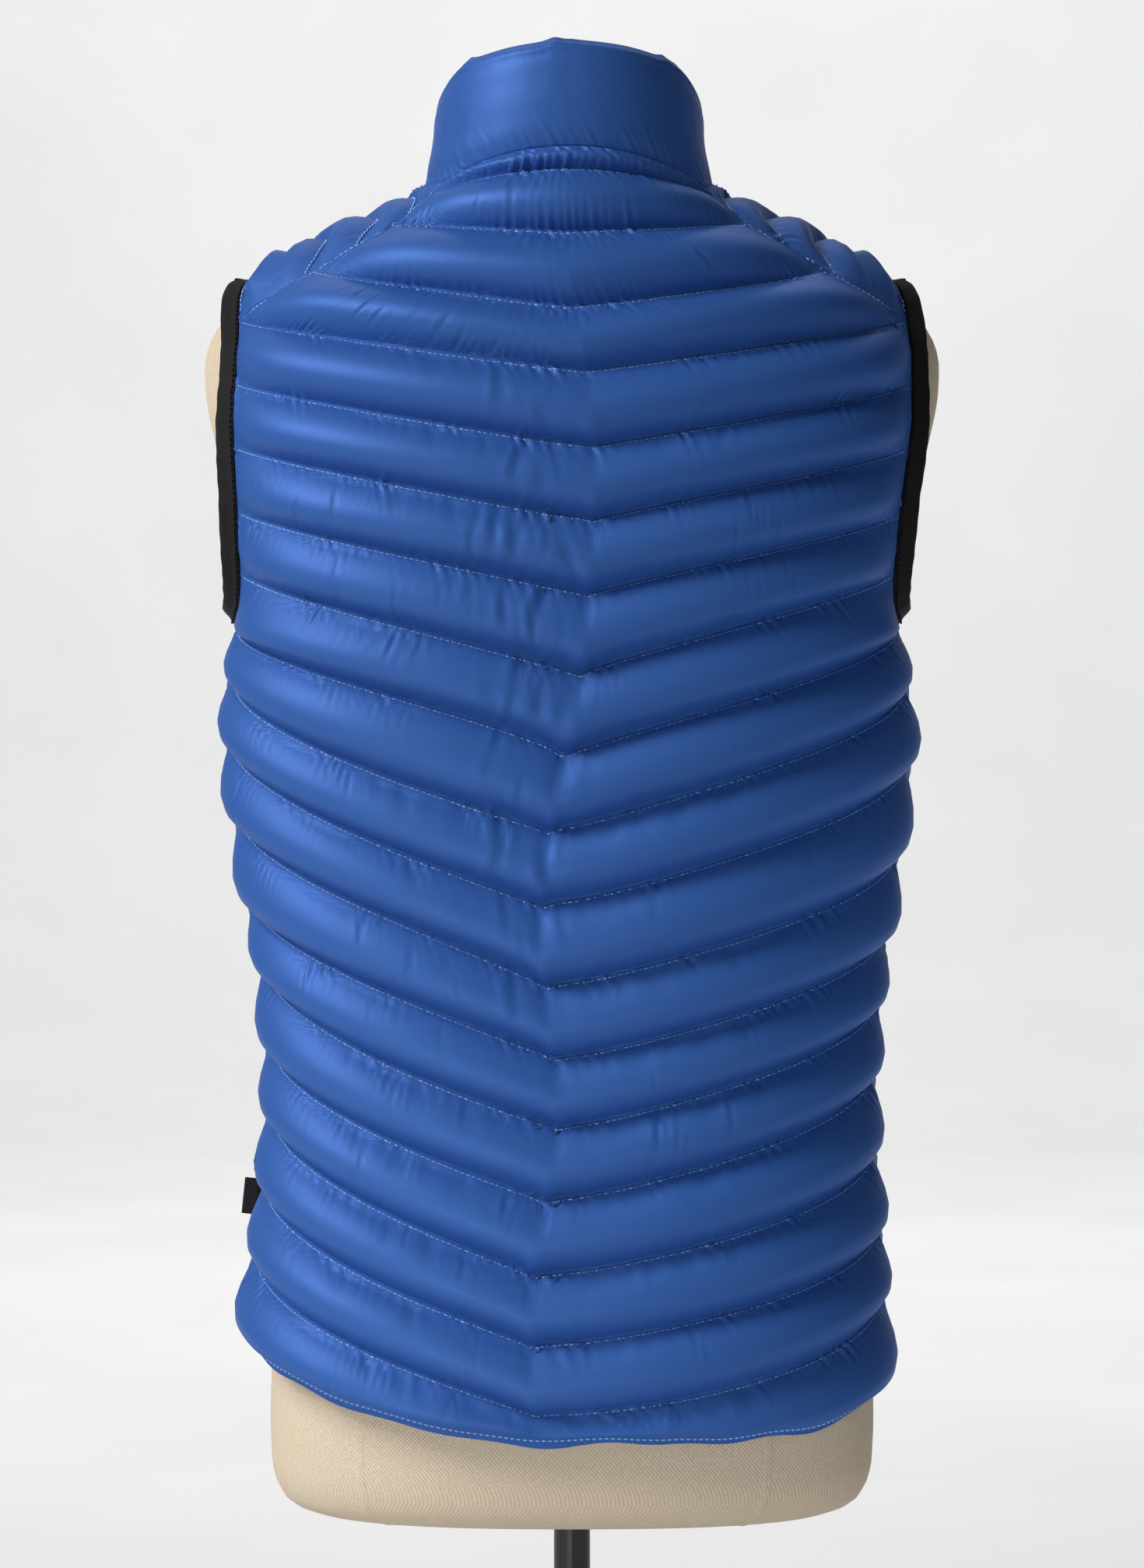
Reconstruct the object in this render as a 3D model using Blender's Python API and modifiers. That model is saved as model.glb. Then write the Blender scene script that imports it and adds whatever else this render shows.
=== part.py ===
"""A quilted sleeveless puffer jacket on a limbless dress form with a pole stand.

The garment is cut in a back, two fronts and a stand collar, with tape round the armholes
and a zip up the front. Every cloth piece lies on one skin, which is a stack of rounded
sections, and its quilted channels are raised on the outside of a plain inner wall.
Heights in the tables are above the underside of the dress form. The back faces +Y and the
wearer's left is +X. An angle runs round the body from the centre back, positive to the left.
"""

import math

import bmesh
import bpy
import numpy as np
from mathutils import Matrix, Vector

# Driving dimensions, in metres.
FORM_BASE = 0.262
CLOTH_WALL = 0.003
SEAM_GAP = 0.0003
BACK_PUFF = 0.0085
FRONT_PUFF = 0.008
COLLAR_PUFF = 0.004
CHANNEL_STEPS = 3
BACK_COLUMNS = 24
FRONT_COLUMNS = 13
EDGE_LIFT = 0.12
USUAL_CHANNEL = 0.036
CREST_POWER = 4
CREST_SCALE = 12.2
SHARED_STEP = 0.0003

# Sections of the garment's skin, where the quilting seams lie.
# height, left half width, right half width, depth behind, depth in front, squareness
VEST_SECTIONS = (
    (0.030, 0.178, 0.169, 0.121, 0.116, 2.50),
    (0.100, 0.178, 0.169, 0.118, 0.113, 2.45),
    (0.150, 0.1705, 0.1665, 0.113, 0.109, 2.40),
    (0.215, 0.165, 0.163, 0.108, 0.105, 2.40),
    (0.285, 0.167, 0.1665, 0.109, 0.106, 2.40),
    (0.350, 0.178, 0.1755, 0.112, 0.110, 2.40),
    (0.425, 0.187, 0.183, 0.117, 0.115, 2.40),
    (0.484, 0.184, 0.178, 0.121, 0.118, 2.40),
    (0.540, 0.191, 0.187, 0.122, 0.117, 2.40),
    (0.600, 0.195, 0.196, 0.116, 0.108, 2.25),
    (0.640, 0.189, 0.191, 0.106, 0.097, 2.05),
    (0.660, 0.185, 0.184, 0.099, 0.089, 1.90),
    (0.669, 0.180, 0.178, 0.096, 0.086, 1.82),
    (0.675, 0.171, 0.169, 0.093, 0.084, 1.79),
    (0.681, 0.160, 0.158, 0.091, 0.082, 1.78),
    (0.688, 0.147, 0.145, 0.088, 0.080, 1.79),
    (0.696, 0.129, 0.129, 0.086, 0.079, 1.82),
    (0.703, 0.111, 0.111, 0.084, 0.077, 1.89),
    (0.711, 0.096, 0.094, 0.081, 0.075, 1.98),
    (0.722, 0.082, 0.079, 0.078, 0.074, 2.10),
    (0.740, 0.0750, 0.0710, 0.075, 0.072, 2.15),
    (0.765, 0.0715, 0.0685, 0.073, 0.070, 2.15),
    (0.800, 0.0668, 0.0640, 0.070, 0.067, 2.15),
)

# Sections of the dress form: height, half width, depth behind, depth in front, squareness
FORM_SECTIONS = (
    (0.000, 0.1450, 0.0880, 0.0840, 2.50),
    (0.003, 0.1530, 0.0955, 0.0915, 2.50),
    (0.010, 0.1600, 0.1025, 0.0985, 2.50),
    (0.020, 0.1640, 0.1065, 0.1025, 2.50),
    (0.035, 0.1655, 0.1080, 0.1040, 2.50),
    (0.070, 0.1655, 0.1075, 0.1030, 2.50),
    (0.120, 0.1610, 0.1025, 0.0985, 2.45),
    (0.170, 0.1540, 0.0970, 0.0940, 2.40),
    (0.215, 0.1500, 0.0940, 0.0920, 2.40),
    (0.285, 0.1520, 0.0950, 0.0935, 2.40),
    (0.350, 0.1590, 0.0990, 0.0970, 2.40),
    (0.425, 0.1680, 0.1055, 0.1030, 2.40),
    (0.484, 0.1720, 0.1095, 0.1060, 2.30),
    (0.540, 0.1860, 0.1090, 0.1035, 2.05),
    (0.580, 0.1960, 0.1020, 0.0960, 1.85),
    (0.615, 0.2025, 0.0920, 0.0860, 1.68),
    (0.635, 0.2015, 0.0830, 0.0780, 1.55),
    (0.647, 0.1960, 0.0765, 0.0710, 1.46),
    (0.655, 0.1890, 0.0735, 0.0680, 1.44),
    (0.662, 0.1810, 0.0740, 0.0675, 1.46),
    (0.669, 0.1700, 0.0740, 0.0675, 1.50),
    (0.677, 0.1560, 0.0740, 0.0675, 1.57),
    (0.6870, 0.1360, 0.0740, 0.0675, 1.66),
    (0.6985, 0.1110, 0.0735, 0.0670, 1.78),
    (0.7087, 0.0905, 0.0725, 0.0665, 1.92),
    (0.7205, 0.0740, 0.0700, 0.0655, 2.04),
    (0.735, 0.0675, 0.0655, 0.0630, 2.10),
    (0.746, 0.0630, 0.0625, 0.0600, 2.10),
    (0.750, 0.0600, 0.0595, 0.0570, 2.10),
)
FORM_POINTS = 40

# Quilting seams of the back, hem to collar. A power under 1 bows a seam's side upwards.
# seam, height at the centre, left end, right end, left power, right power
BACK_SEAMS = (
    (0, 0.0495, 0.107, 0.081, 1.30, 3.00),
    (1, 0.0660, 0.145, 0.121, 0.86, 1.20),
    (2, 0.1020, 0.184, 0.157, 0.86, 1.05),
    (3, 0.1380, 0.224, 0.199, 0.87, 1.00),
    (4, 0.1770, 0.261, 0.242, 0.89, 0.95),
    (5, 0.2155, 0.304, 0.281, 0.93, 0.95),
    (6, 0.2520, 0.338, 0.318, 0.85, 0.95),
    (7, 0.2900, 0.384, 0.362, 0.82, 0.95),
    (8, 0.3325, 0.4265, 0.412, 0.91, 0.93),
    (9, 0.3716, 0.460, 0.453, 0.90, 0.85),
    (10, 0.4120, 0.484, 0.484, 0.68, 0.75),
    (11, 0.4540, 0.510, 0.510, 0.76, 0.75),
    (12, 0.4955, 0.543, 0.541, 0.80, 0.80),
    (13, 0.5345, 0.578, 0.577, 0.85, 0.85),
    (14, 0.5730, 0.613, 0.612, 0.90, 0.90),
    (15, 0.6130, 0.649, 0.649, 0.95, 0.95),
    (16, 0.6480, 0.673, 0.673, 1.10, 1.10),
    (17, 0.6900, 0.698, 0.698, 1.30, 1.30),
    (18, 0.7245, 0.7145, 0.7145, 1.60, 1.60),
    (19, 0.7370, 0.722, 0.722, 1.80, 1.80),
)

# Where the points of the chevrons wander from the centre back: seam, distance to the left
CHEVRON_POINTS = (
    (0, 0.010),
    (3, 0.013),
    (5, 0.004),
    (8, 0.010),
    (11, -0.002),
    (15, -0.005),
    (17, 0.004),
    (19, 0.000),
)

# The quilting seams of a front rise from the zip to the side, in a bow, and the upper ones
# lift over the crest of the shoulder: seam, height at the zip, bow, lift
FRONT_SEAMS = (
    (0, 0.0880, 0.0000, 0.0000),
    (9, 0.3660, 0.0020, 0.0000),
    (12, 0.4560, 0.0080, 0.0000),
    (14, 0.5140, 0.0090, 0.0000),
    (15, 0.5425, 0.0090, 0.0000),
    (15.333, 0.5520, 0.0120, 0.0060),
    (15.667, 0.5615, 0.0155, 0.0164),
    (16, 0.5710, 0.0273, 0.0288),
    (16.333, 0.5806, 0.0335, 0.0202),
    (17, 0.6000, 0.0328, 0.0155),
    (18, 0.6300, 0.0264, 0.0118),
    (19, 0.6600, 0.0171, 0.0098),
    (20, 0.6900, 0.0072, 0.0025),
)
# The seams of a panel that end under the arm, at the shoulder's end and at the neck
BACK_ENDS = (10, 15, 19)
FRONT_ENDS = (9, 16, 20)

# Where the seams of a front end on the shoulder seam: seam, distance from the centre
SHOULDER_ENDS = (
    (16, 0.1810),
    (17, 0.1430),
    (18, 0.1150),
    (19, 0.0880),
    (20, 0.0712),
)
# The shoulder seam, which lies behind the crest: height, distance from the centre
SHOULDER_LINE = (
    (0.6490, 0.1810),
    (0.6690, 0.1460),
    (0.6843, 0.1190),
    (0.6990, 0.0945),
    (0.7220, 0.0712),
)

# The armhole is an oval round the side: its heights, and half its angle behind and in front
UNDERARM = 0.484
ARMHOLE_TOP = 0.673
ARMHOLE_BACK = math.radians(23.0)
ARMHOLE_FRONT = math.radians(31.0)
ARMHOLE_LAST_TURN = 0.45
ARMHOLE_SQUARE = 0.55
ARMHOLE_MIDDLE = (ARMHOLE_TOP + UNDERARM) / 2
ARMHOLE_HALF = (ARMHOLE_TOP - UNDERARM) / 2

# The collar's top edge: angle in degrees, height
COLLAR_TOP = (
    (0, 0.7950),
    (30, 0.7910),
    (60, 0.7810),
    (90, 0.7700),
    (120, 0.7620),
    (150, 0.7560),
    (180, 0.7540),
)

# The collar's section: share of its height, how full it is
COLLAR_PROFILE = (
    (0.00, 0.05),
    (0.12, 0.62),
    (0.35, 0.95),
    (0.62, 1.00),
    (0.86, 0.85),
    (0.97, 0.42),
    (1.00, -0.20),
)

COLLAR_END_POWER = 8
COLLAR_EDGE_LIFT = 0.4

# Tape, zip, label and stand.
# The tape's section, which leans out from the skin: way into the armhole, way off the skin
TAPE_SECTION = (
    (0.0000, -0.0036),
    (0.0000, 0.0011),
    (0.0034, 0.0040),
    (0.0082, 0.0078),
    (0.0098, 0.0060),
    (0.0058, 0.0010),
)
ZIP_HALF_GAP = 0.0062
ZIP_TAPE = 0.0014
ZIP_CHAIN = 0.0028
ZIP_CHAIN_RISE = 0.0012
ZIP_STEP = 0.018
SLIDER_HEIGHT = 0.742
SLIDER_SIZE = (0.0085, 0.0040, 0.0105)
EAR_SIZE = (0.0014, 0.0046, 0.0040)
EAR_SPACING = 0.0052
PIN_RADIUS = 0.0007
PIN_REACH = 0.0026
PULL_SIZE = (0.0034, 0.0014, 0.026)
PULL_END = 0.0020
PULL_BARREL = 0.0019
PULL_EYE = 0.0011
LABEL_SIZE = (0.0098, 0.0011, 0.0200)
LABEL_HEIGHT = 0.168
POLE_RADIUS = 0.010
PLATE_RADIUS = 0.155
PLATE_THICKNESS = 0.009
HUB_RADIUS = 0.019
HUB_HEIGHT = 0.026
TOUCH_GAP = 0.0003

# name: red, green, blue, roughness, metallic
FINISHES = {
    "blue_shell": (0.045, 0.125, 0.42, 0.42, 0.0),
    "black_tape": (0.012, 0.012, 0.014, 0.85, 0.0),
    "dark_metal": (0.06, 0.06, 0.065, 0.35, 0.9),
    "linen": (0.56, 0.45, 0.32, 0.90, 0.0),
    "stand_black": (0.02, 0.02, 0.022, 0.38, 0.2),
}


def smooth_columns(table):
    """A function that reads the table's columns at any value of its first one, on smooth curves."""
    rows = np.array(table, float)
    keys, values = rows[:, 0], rows[:, 1:]
    step = np.diff(keys)
    slope = np.diff(values, axis=0) / step[:, None]
    before, after = step[:-1, None], step[1:, None]
    tangent = np.zeros_like(values)
    tangent[1:-1] = (slope[:-1] * after + slope[1:] * before) / (before + after)
    tangent[0], tangent[-1] = slope[0], slope[-1]

    def read(key):
        key = np.asarray(key, float)
        at = np.clip(np.searchsorted(keys, key) - 1, 0, len(step) - 1)
        t = np.clip((key - keys[at]) / step[at], 0, 1)[..., None]
        reach = step[at][..., None]
        start = values[at] * (1 + 2 * t) + tangent[at] * reach * t
        end = values[at + 1] * (3 - 2 * t) - tangent[at + 1] * reach * (1 - t)
        return np.moveaxis(start * (1 - t) ** 2 + end * t**2, -1, 0)

    return read


vest_section = smooth_columns(VEST_SECTIONS)
form_section = smooth_columns(FORM_SECTIONS)
back_seam = smooth_columns(BACK_SEAMS)
chevron_point = smooth_columns(CHEVRON_POINTS)
front_seam = smooth_columns(FRONT_SEAMS)
shoulder_end = smooth_columns(SHOULDER_ENDS)
shoulder_line = smooth_columns(SHOULDER_LINE)
collar_top = smooth_columns(COLLAR_TOP)


def on_section(angle, height, left, right, back, front, square):
    """The points at these angles on rounded sections, as an array that ends in x, y, z."""
    side, behind = np.sin(angle), np.cos(angle)
    x = np.where(side > 0, left, right) * np.sign(side) * np.abs(side) ** (2 / square)
    y = np.where(behind > 0, back, front) * np.sign(behind) * np.abs(behind) ** (2 / square)
    return np.stack([x, y, np.broadcast_to(height, x.shape) + FORM_BASE], axis=-1)


def skin(angle, height):
    """The garment's skin at an angle and a height."""
    return on_section(angle, height, *vest_section(height))


def outward(angle, height):
    """The skin's unit normal, pointing away from the body."""
    turn, rise = 1e-3, 1e-4
    across = skin(angle + turn, height) - skin(angle - turn, height)
    up = skin(angle, height + rise) - skin(angle, height - rise)
    normal = np.cross(up, across)
    return normal / np.linalg.norm(normal, axis=-1, keepdims=True)


def angle_at(distance, height, side=0):
    """The angle at which the left or the right (side 1) of the skin is this far out."""
    half_width, square = vest_section(height)[side], vest_section(height)[4]
    share = np.clip(distance / half_width, 0, 1)
    return np.arcsin(share ** (square / 2))


def armhole(turn):
    """Angle and height on the left armhole. The turn runs from the top, positive in front."""
    reach = np.where(turn > 0, ARMHOLE_FRONT, -ARMHOLE_BACK)
    square = np.where(np.cos(turn) < 0, ARMHOLE_SQUARE, 1.0)
    angle = math.pi / 2 + reach * np.abs(np.sin(turn)) ** square
    return angle, ARMHOLE_MIDDLE + ARMHOLE_HALF * np.cos(turn)


def armhole_turn(height):
    """How far round the armhole this height lies from the top."""
    return np.arccos(np.clip((height - ARMHOLE_MIDDLE) / ARMHOLE_HALF, -1, 1))


def on_shoulder_seam(height):
    """Angle and height on the left shoulder seam."""
    return angle_at(shoulder_line(height)[0], height), height


def back_end(seam, side):
    """Angle and height where a row of the back ends: side seam, armhole, then shoulder seam."""
    under_arm, at_shoulder, _ = BACK_ENDS
    height = back_seam(seam)[side]
    if seam <= under_arm:
        return math.pi / 2, height
    if seam >= at_shoulder:
        return on_shoulder_seam(height)
    rows = range(under_arm, at_shoulder + 1)
    turns = [-armhole_turn(back_seam(row)[side]) for row in rows]
    return armhole(np.interp(seam, rows, turns))


def back_spot(column, seam):
    """Angle and height on the back. The column runs from -1 at the right to 1 at the left."""
    centre, _, _, left_power, right_power = back_seam(seam)
    left_angle, left_height = back_end(seam, 1)
    right_angle, right_height = back_end(seam, 2)
    on_left = column > 0
    share = np.abs(column)
    rise = share ** np.where(on_left, left_power, right_power)
    height = centre + (np.where(on_left, left_height, right_height) - centre) * rise
    point = chevron_point(seam)[0] / vest_section(height)[0]
    end_angle = np.where(on_left, left_angle, -right_angle)
    return point + (end_angle - point) * share, height


def front_end(seam, hem_side):
    """Angle and height where a row of the left front ends: side, armhole, then shoulder."""
    under_arm, at_shoulder, _ = FRONT_ENDS
    if seam <= under_arm:
        return math.pi / 2, hem_side + (UNDERARM - hem_side) * seam / under_arm
    if seam <= at_shoulder:
        turns = (math.pi, ARMHOLE_LAST_TURN, -armhole_turn(SHOULDER_LINE[0][0]))
        return armhole(np.interp(seam, (under_arm, at_shoulder - 1, at_shoulder), turns))
    distance = shoulder_end(seam)[0]
    heights = np.linspace(SHOULDER_LINE[0][0], SHOULDER_LINE[-1][0], 60)
    return on_shoulder_seam(np.interp(-distance, -shoulder_line(heights)[0], heights))


def front_spot(column, seam, side):
    """Angle and height on a front. The column runs from 0 at the zip to 1 at the side."""
    at_zip, bow, lift = front_seam(seam)
    end_angle, end_height = front_end(seam, BACK_SEAMS[0][2 + side])
    curve = lift * CREST_SCALE * column**CREST_POWER + 4 * bow * column
    height = at_zip + (end_height - at_zip) * column + curve * (1 - column)
    start = math.pi - angle_at(ZIP_HALF_GAP, at_zip, side)
    return start + (end_angle - start) * column, height


def row_seams(first, last):
    """The seam and the rows between seams, from one seam to another."""
    steps = round((last - first) * CHANNEL_STEPS)
    return [first + step / CHANNEL_STEPS for step in range(steps + 1)]


def shared_shoulder_heights():
    """Heights on the shoulder seam where the back or the front has a row."""
    behind = [back_end(seam, 1)[1] for seam in row_seams(*BACK_ENDS[1:])]
    before = [front_end(seam, 0.0)[1] for seam in row_seams(*FRONT_ENDS[1:])]
    return sorted(behind + before)


def edge_rows(spot, column, seams, at_shoulder):
    """Seam, angle and height down one edge, with the points that both panels share there."""
    rows = [(seam, *spot(np.array(column), seam)) for seam in seams]
    if at_shoulder is None:
        return rows
    upper = [row for row in rows if row[0] >= at_shoulder]
    own = np.array([row[2] for row in upper])
    side = np.sign(upper[0][1])
    for height in shared_shoulder_heights():
        if np.min(np.abs(own - height)) > SHARED_STEP:
            angle, _ = on_shoulder_seam(height)
            seam = np.interp(height, own, [row[0] for row in upper])
            rows.append((float(seam), side * angle, height))
    return sorted(rows)


def plump(seam):
    """How far the cloth stands off its seams: flat on a seam, fullest low in each channel."""
    share = seam - np.floor(seam + 1e-6)
    return np.where(share < 0.01, 0.0, np.where(share < 0.5, 1.0, 0.86))


def channel_share(spot, columns, seams):
    """How full each row's channel is, by its width at each column against a usual one."""
    top = round(max(seams))
    edges = [skin(*spot(columns, seam)) for seam in range(top + 1)]
    low = [min(math.floor(seam + 1e-6), top - 1) for seam in seams]
    widths = [np.linalg.norm(edges[k + 1] - edges[k], axis=-1) for k in low]
    return np.clip(np.array(widths) / USUAL_CHANNEL, 0.25, 1.0)


def edge_inward(points, normal, within):
    """At each point of an edge, the way into the panel, square to the edge and on its skin."""
    along = np.gradient(points, axis=0)
    across = np.cross(normal, along)
    across /= np.linalg.norm(across, axis=-1, keepdims=True)
    return across * np.sign(np.sum(across * (within - points), axis=-1).mean())


def finish_of(name):
    """The material of this name."""
    made = bpy.data.materials.get(name)
    if made:
        return made
    red, green, blue, roughness, metallic = FINISHES[name]
    made = bpy.data.materials.new(name)
    made.use_nodes = True
    surface = made.node_tree.nodes["Principled BSDF"]
    surface.inputs["Base Color"].default_value = (red, green, blue, 1.0)
    surface.inputs["Roughness"].default_value = roughness
    surface.inputs["Metallic"].default_value = metallic
    return made


def add_object(name, mesh, finish, collection):
    """Puts a mesh in the scene as a smooth named object."""
    placed = bpy.data.objects.new(name, mesh)
    collection.objects.link(placed)
    mesh.materials.append(finish_of(finish))
    mesh.shade_smooth()
    return placed


def edge_piece(rim, low, high):
    """The points of an edge from one row to another."""
    return [pair for seam, pair in rim if low - 1e-6 < seam < high + 1e-6]


def close_wall(name, seams, out, plain, plain_rows, rims, finish, collection):
    """A closed wall: an outer grid, an inner one with few rows, and the two rims of its sides."""
    wall = bmesh.new()
    columns = len(out[0])
    made = {}

    def vert(point):
        key = tuple(np.round(point, 7))
        if key not in made:
            made[key] = wall.verts.new(point)
        return made[key]

    def face(points):
        wall.faces.new([vert(point) for point in points])

    for r, (low, high) in enumerate(zip(seams[:-1], seams[1:])):
        for c in range(columns - 1):
            near, far = [out[r][c], out[r + 1][c]], [out[r][c + 1], out[r + 1][c + 1]]
            if c == 0:
                near = [pair[0] for pair in edge_piece(rims[0], low, high)]
            if c == columns - 2:
                far = [pair[0] for pair in edge_piece(rims[1], low, high)]
            face(near + far[::-1])
    for r in (0, len(seams) - 1):
        for c in range(columns - 1):
            face((out[r][c], out[r][c + 1], plain[r][c + 1], plain[r][c]))
    for rim in rims:
        pairs = [pair for _, pair in rim]
        for (outer, inner), (next_outer, next_inner) in zip(pairs[:-1], pairs[1:]):
            face((outer, next_outer, next_inner, inner))
    for r, to in zip(plain_rows[:-1], plain_rows[1:]):
        for c in range(columns - 1):
            near, far = [plain[r][c], plain[to][c]], [plain[r][c + 1], plain[to][c + 1]]
            if c == 0:
                near = [pair[1] for pair in edge_piece(rims[0], seams[r], seams[to])]
            if c == columns - 2:
                far = [pair[1] for pair in edge_piece(rims[1], seams[r], seams[to])]
            face(near + far[::-1])
    bmesh.ops.recalc_face_normals(wall, faces=wall.faces)
    bmesh.ops.triangulate(wall, faces=[f for f in wall.faces if len(f.verts) > 4])
    mesh = bpy.data.meshes.new(name)
    wall.to_mesh(mesh)
    wall.free()
    return add_object(name, mesh, finish, collection)


def padded_wall(name, seams, places, rise, plain_rows, rim_rows, collection):
    """A cloth wall on the skin: its rise is on the outside, and its edges stay off the seams."""
    angle, height = places
    base, normal = skin(angle, height), outward(angle, height)
    shift = np.zeros_like(base)
    for edge, beside in ((0, 1), (-1, -2)):
        shift[edge] += edge_inward(base[edge], normal[edge], base[beside])
    rims = []
    for edge, beside, rows in ((0, 1, rim_rows[0]), (-1, -2, rim_rows[1])):
        row_seam, row_angle, row_height = np.array(rows, float).T
        point, out = skin(row_angle, row_height), outward(row_angle, row_height)
        inside = [np.interp(row_seam, seams, base[:, beside, k]) for k in range(3)]
        inward = edge_inward(point, out, np.stack(inside, axis=-1))
        at_row = np.searchsorted(row_seam, np.array(seams) - 1e-6)
        inward[0] += shift[0, edge]
        inward[-1] += shift[-1, edge]
        shift[:, edge] = inward[at_row]
        lift = np.interp(row_seam, seams, rise[:, edge])[:, None]
        point = point + inward * SEAM_GAP / 2
        pairs = zip(point + out * lift, point - out * CLOTH_WALL)
        rims.append(list(zip(row_seam, pairs)))
    base = base + shift * SEAM_GAP / 2
    outer, inner = base + normal * rise[..., None], base - normal * CLOTH_WALL
    for rim, edge in zip(rims, (0, -1)):
        at_row = np.searchsorted([seam for seam, _ in rim], np.array(seams) - 1e-6)
        outer[:, edge] = [rim[k][1][0] for k in at_row]
        inner[:, edge] = [rim[k][1][1] for k in at_row]
    walls = (outer, inner, plain_rows)
    return close_wall(name, seams, *walls, rims, "blue_shell", collection)


def edge_taper(count):
    """How much of the puff each column keeps: little at a sewn edge."""
    taper = np.ones(count)
    taper[[0, -1]] = EDGE_LIFT
    return taper


def quilted_wall(name, spot, columns, ends, full, collection):
    """A quilted panel: channels raised on the outer grid, over a plain inner one."""
    seams = row_seams(0, ends[-1])
    places = [np.array(rows) for rows in zip(*(spot(columns, seam) for seam in seams))]
    thin = channel_share(spot, columns, seams)
    rise = plump(np.array(seams))[:, None] * full * thin * edge_taper(len(columns))
    crest = ends[1]
    plain_rows = [
        r for r, seam in enumerate(seams) if r % CHANNEL_STEPS == 0 or crest - 1 < seam < crest
    ]
    first_end = crest if columns[0] < 0 else None
    rim_rows = (
        edge_rows(spot, columns[0], seams, first_end),
        edge_rows(spot, columns[-1], seams, crest),
    )
    return padded_wall(name, seams, places, rise, plain_rows, rim_rows, collection)


def front_right_spot(column, seam):
    """Angle and height on the right front."""
    angle, height = front_spot(column, seam, 1)
    return -angle, height


def front_left_spot(column, seam):
    """Angle and height on the left front."""
    return front_spot(column, seam, 0)


def back_columns():
    return np.linspace(-1, 1, BACK_COLUMNS + 1)


def front_columns():
    return np.linspace(0, 1, FRONT_COLUMNS + 1)


def make_panels(collection):
    """The back and the two fronts."""
    quilted_wall("back_panel", back_spot, back_columns(), BACK_ENDS, BACK_PUFF, collection)
    for word, spot in (("left", front_left_spot), ("right", front_right_spot)):
        ends = (front_columns(), FRONT_ENDS, FRONT_PUFF)
        quilted_wall(f"front_{word}", spot, *ends, collection)


def neck_seam():
    """Angles and heights along the neck seam, which is the top row of the three panels."""
    rows = (
        front_right_spot(front_columns(), FRONT_ENDS[-1]),
        back_spot(back_columns(), BACK_ENDS[-1]),
        front_left_spot(front_columns(), FRONT_ENDS[-1]),
    )
    angle, place = np.unique(np.round(np.concatenate([row[0] for row in rows]), 6), True)
    return angle, np.concatenate([row[1] for row in rows])[place]


def make_collar(collection):
    """The stand collar: one smooth padded band, open at the zip."""
    angle, seam = neck_seam()
    top = collar_top(np.abs(np.degrees(angle)))[0]
    profile = np.array(COLLAR_PROFILE)
    height = seam + (top - seam) * profile[:, :1]
    ends = [math.pi - angle_at(ZIP_HALF_GAP, height, side) for side in (0, 1)]
    to_end = np.where(angle > 0, ends[0] - angle.max(), ends[1] + angle.min())
    near_end = np.abs(angle / angle.max()) ** COLLAR_END_POWER
    angles = angle + to_end * np.sign(angle) * near_end
    rise = profile[:, 1:] * COLLAR_PUFF * np.minimum(edge_taper(len(angle)) + COLLAR_EDGE_LIFT, 1)
    rows = list(range(len(profile)))
    rims = [list(zip(rows, angles[:, edge], height[:, edge])) for edge in (0, -1)]
    padded_wall("collar", rows, (angles, height), rise, rows[::CHANNEL_STEPS], rims, collection)


def ring_band(name, sections, finish, collection):
    """A closed loop of like sections, such as tape round a hole."""
    count, sides = sections.shape[:2]
    band = bmesh.new()
    rings = [[band.verts.new(p) for p in ring] for ring in sections]
    for r in range(count):
        for s in range(sides):
            here, on = rings[r], rings[(r + 1) % count]
            band.faces.new((here[s], here[(s + 1) % sides], on[(s + 1) % sides], on[s]))
    bmesh.ops.recalc_face_normals(band, faces=band.faces)
    mesh = bpy.data.meshes.new(name)
    band.to_mesh(mesh)
    band.free()
    return add_object(name, mesh, finish, collection)


def armhole_edge(side):
    """Angles and heights round an armhole, at the rows of the two panels that meet there."""
    column = 1 if side > 0 else 2
    behind = [back_end(seam, column) for seam in row_seams(*BACK_ENDS[:2])]
    before = [front_end(seam, 0.0) for seam in row_seams(*FRONT_ENDS[:2])]
    angle, height = np.array(behind + before[-2:0:-1]).T
    return side * angle, height


def make_tape(name, side, collection):
    """The tape round one armhole. It lies just inside the panels' cut edges."""
    angle, height = armhole_edge(side)
    edge, normal = skin(angle, height), outward(angle, height)
    along = np.roll(edge, -1, axis=0) - np.roll(edge, 1, axis=0)
    inward = np.cross(normal, along) * side
    inward /= np.linalg.norm(inward, axis=-1, keepdims=True)
    beside = edge + inward * SEAM_GAP
    sections = np.stack([beside + inward * p + normal * q for p, q in TAPE_SECTION], axis=1)
    return ring_band(name, sections, "black_tape", collection)


def zip_line(height):
    """The skin at the centre front."""
    return skin(np.full(np.shape(height), math.pi), height)


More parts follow.
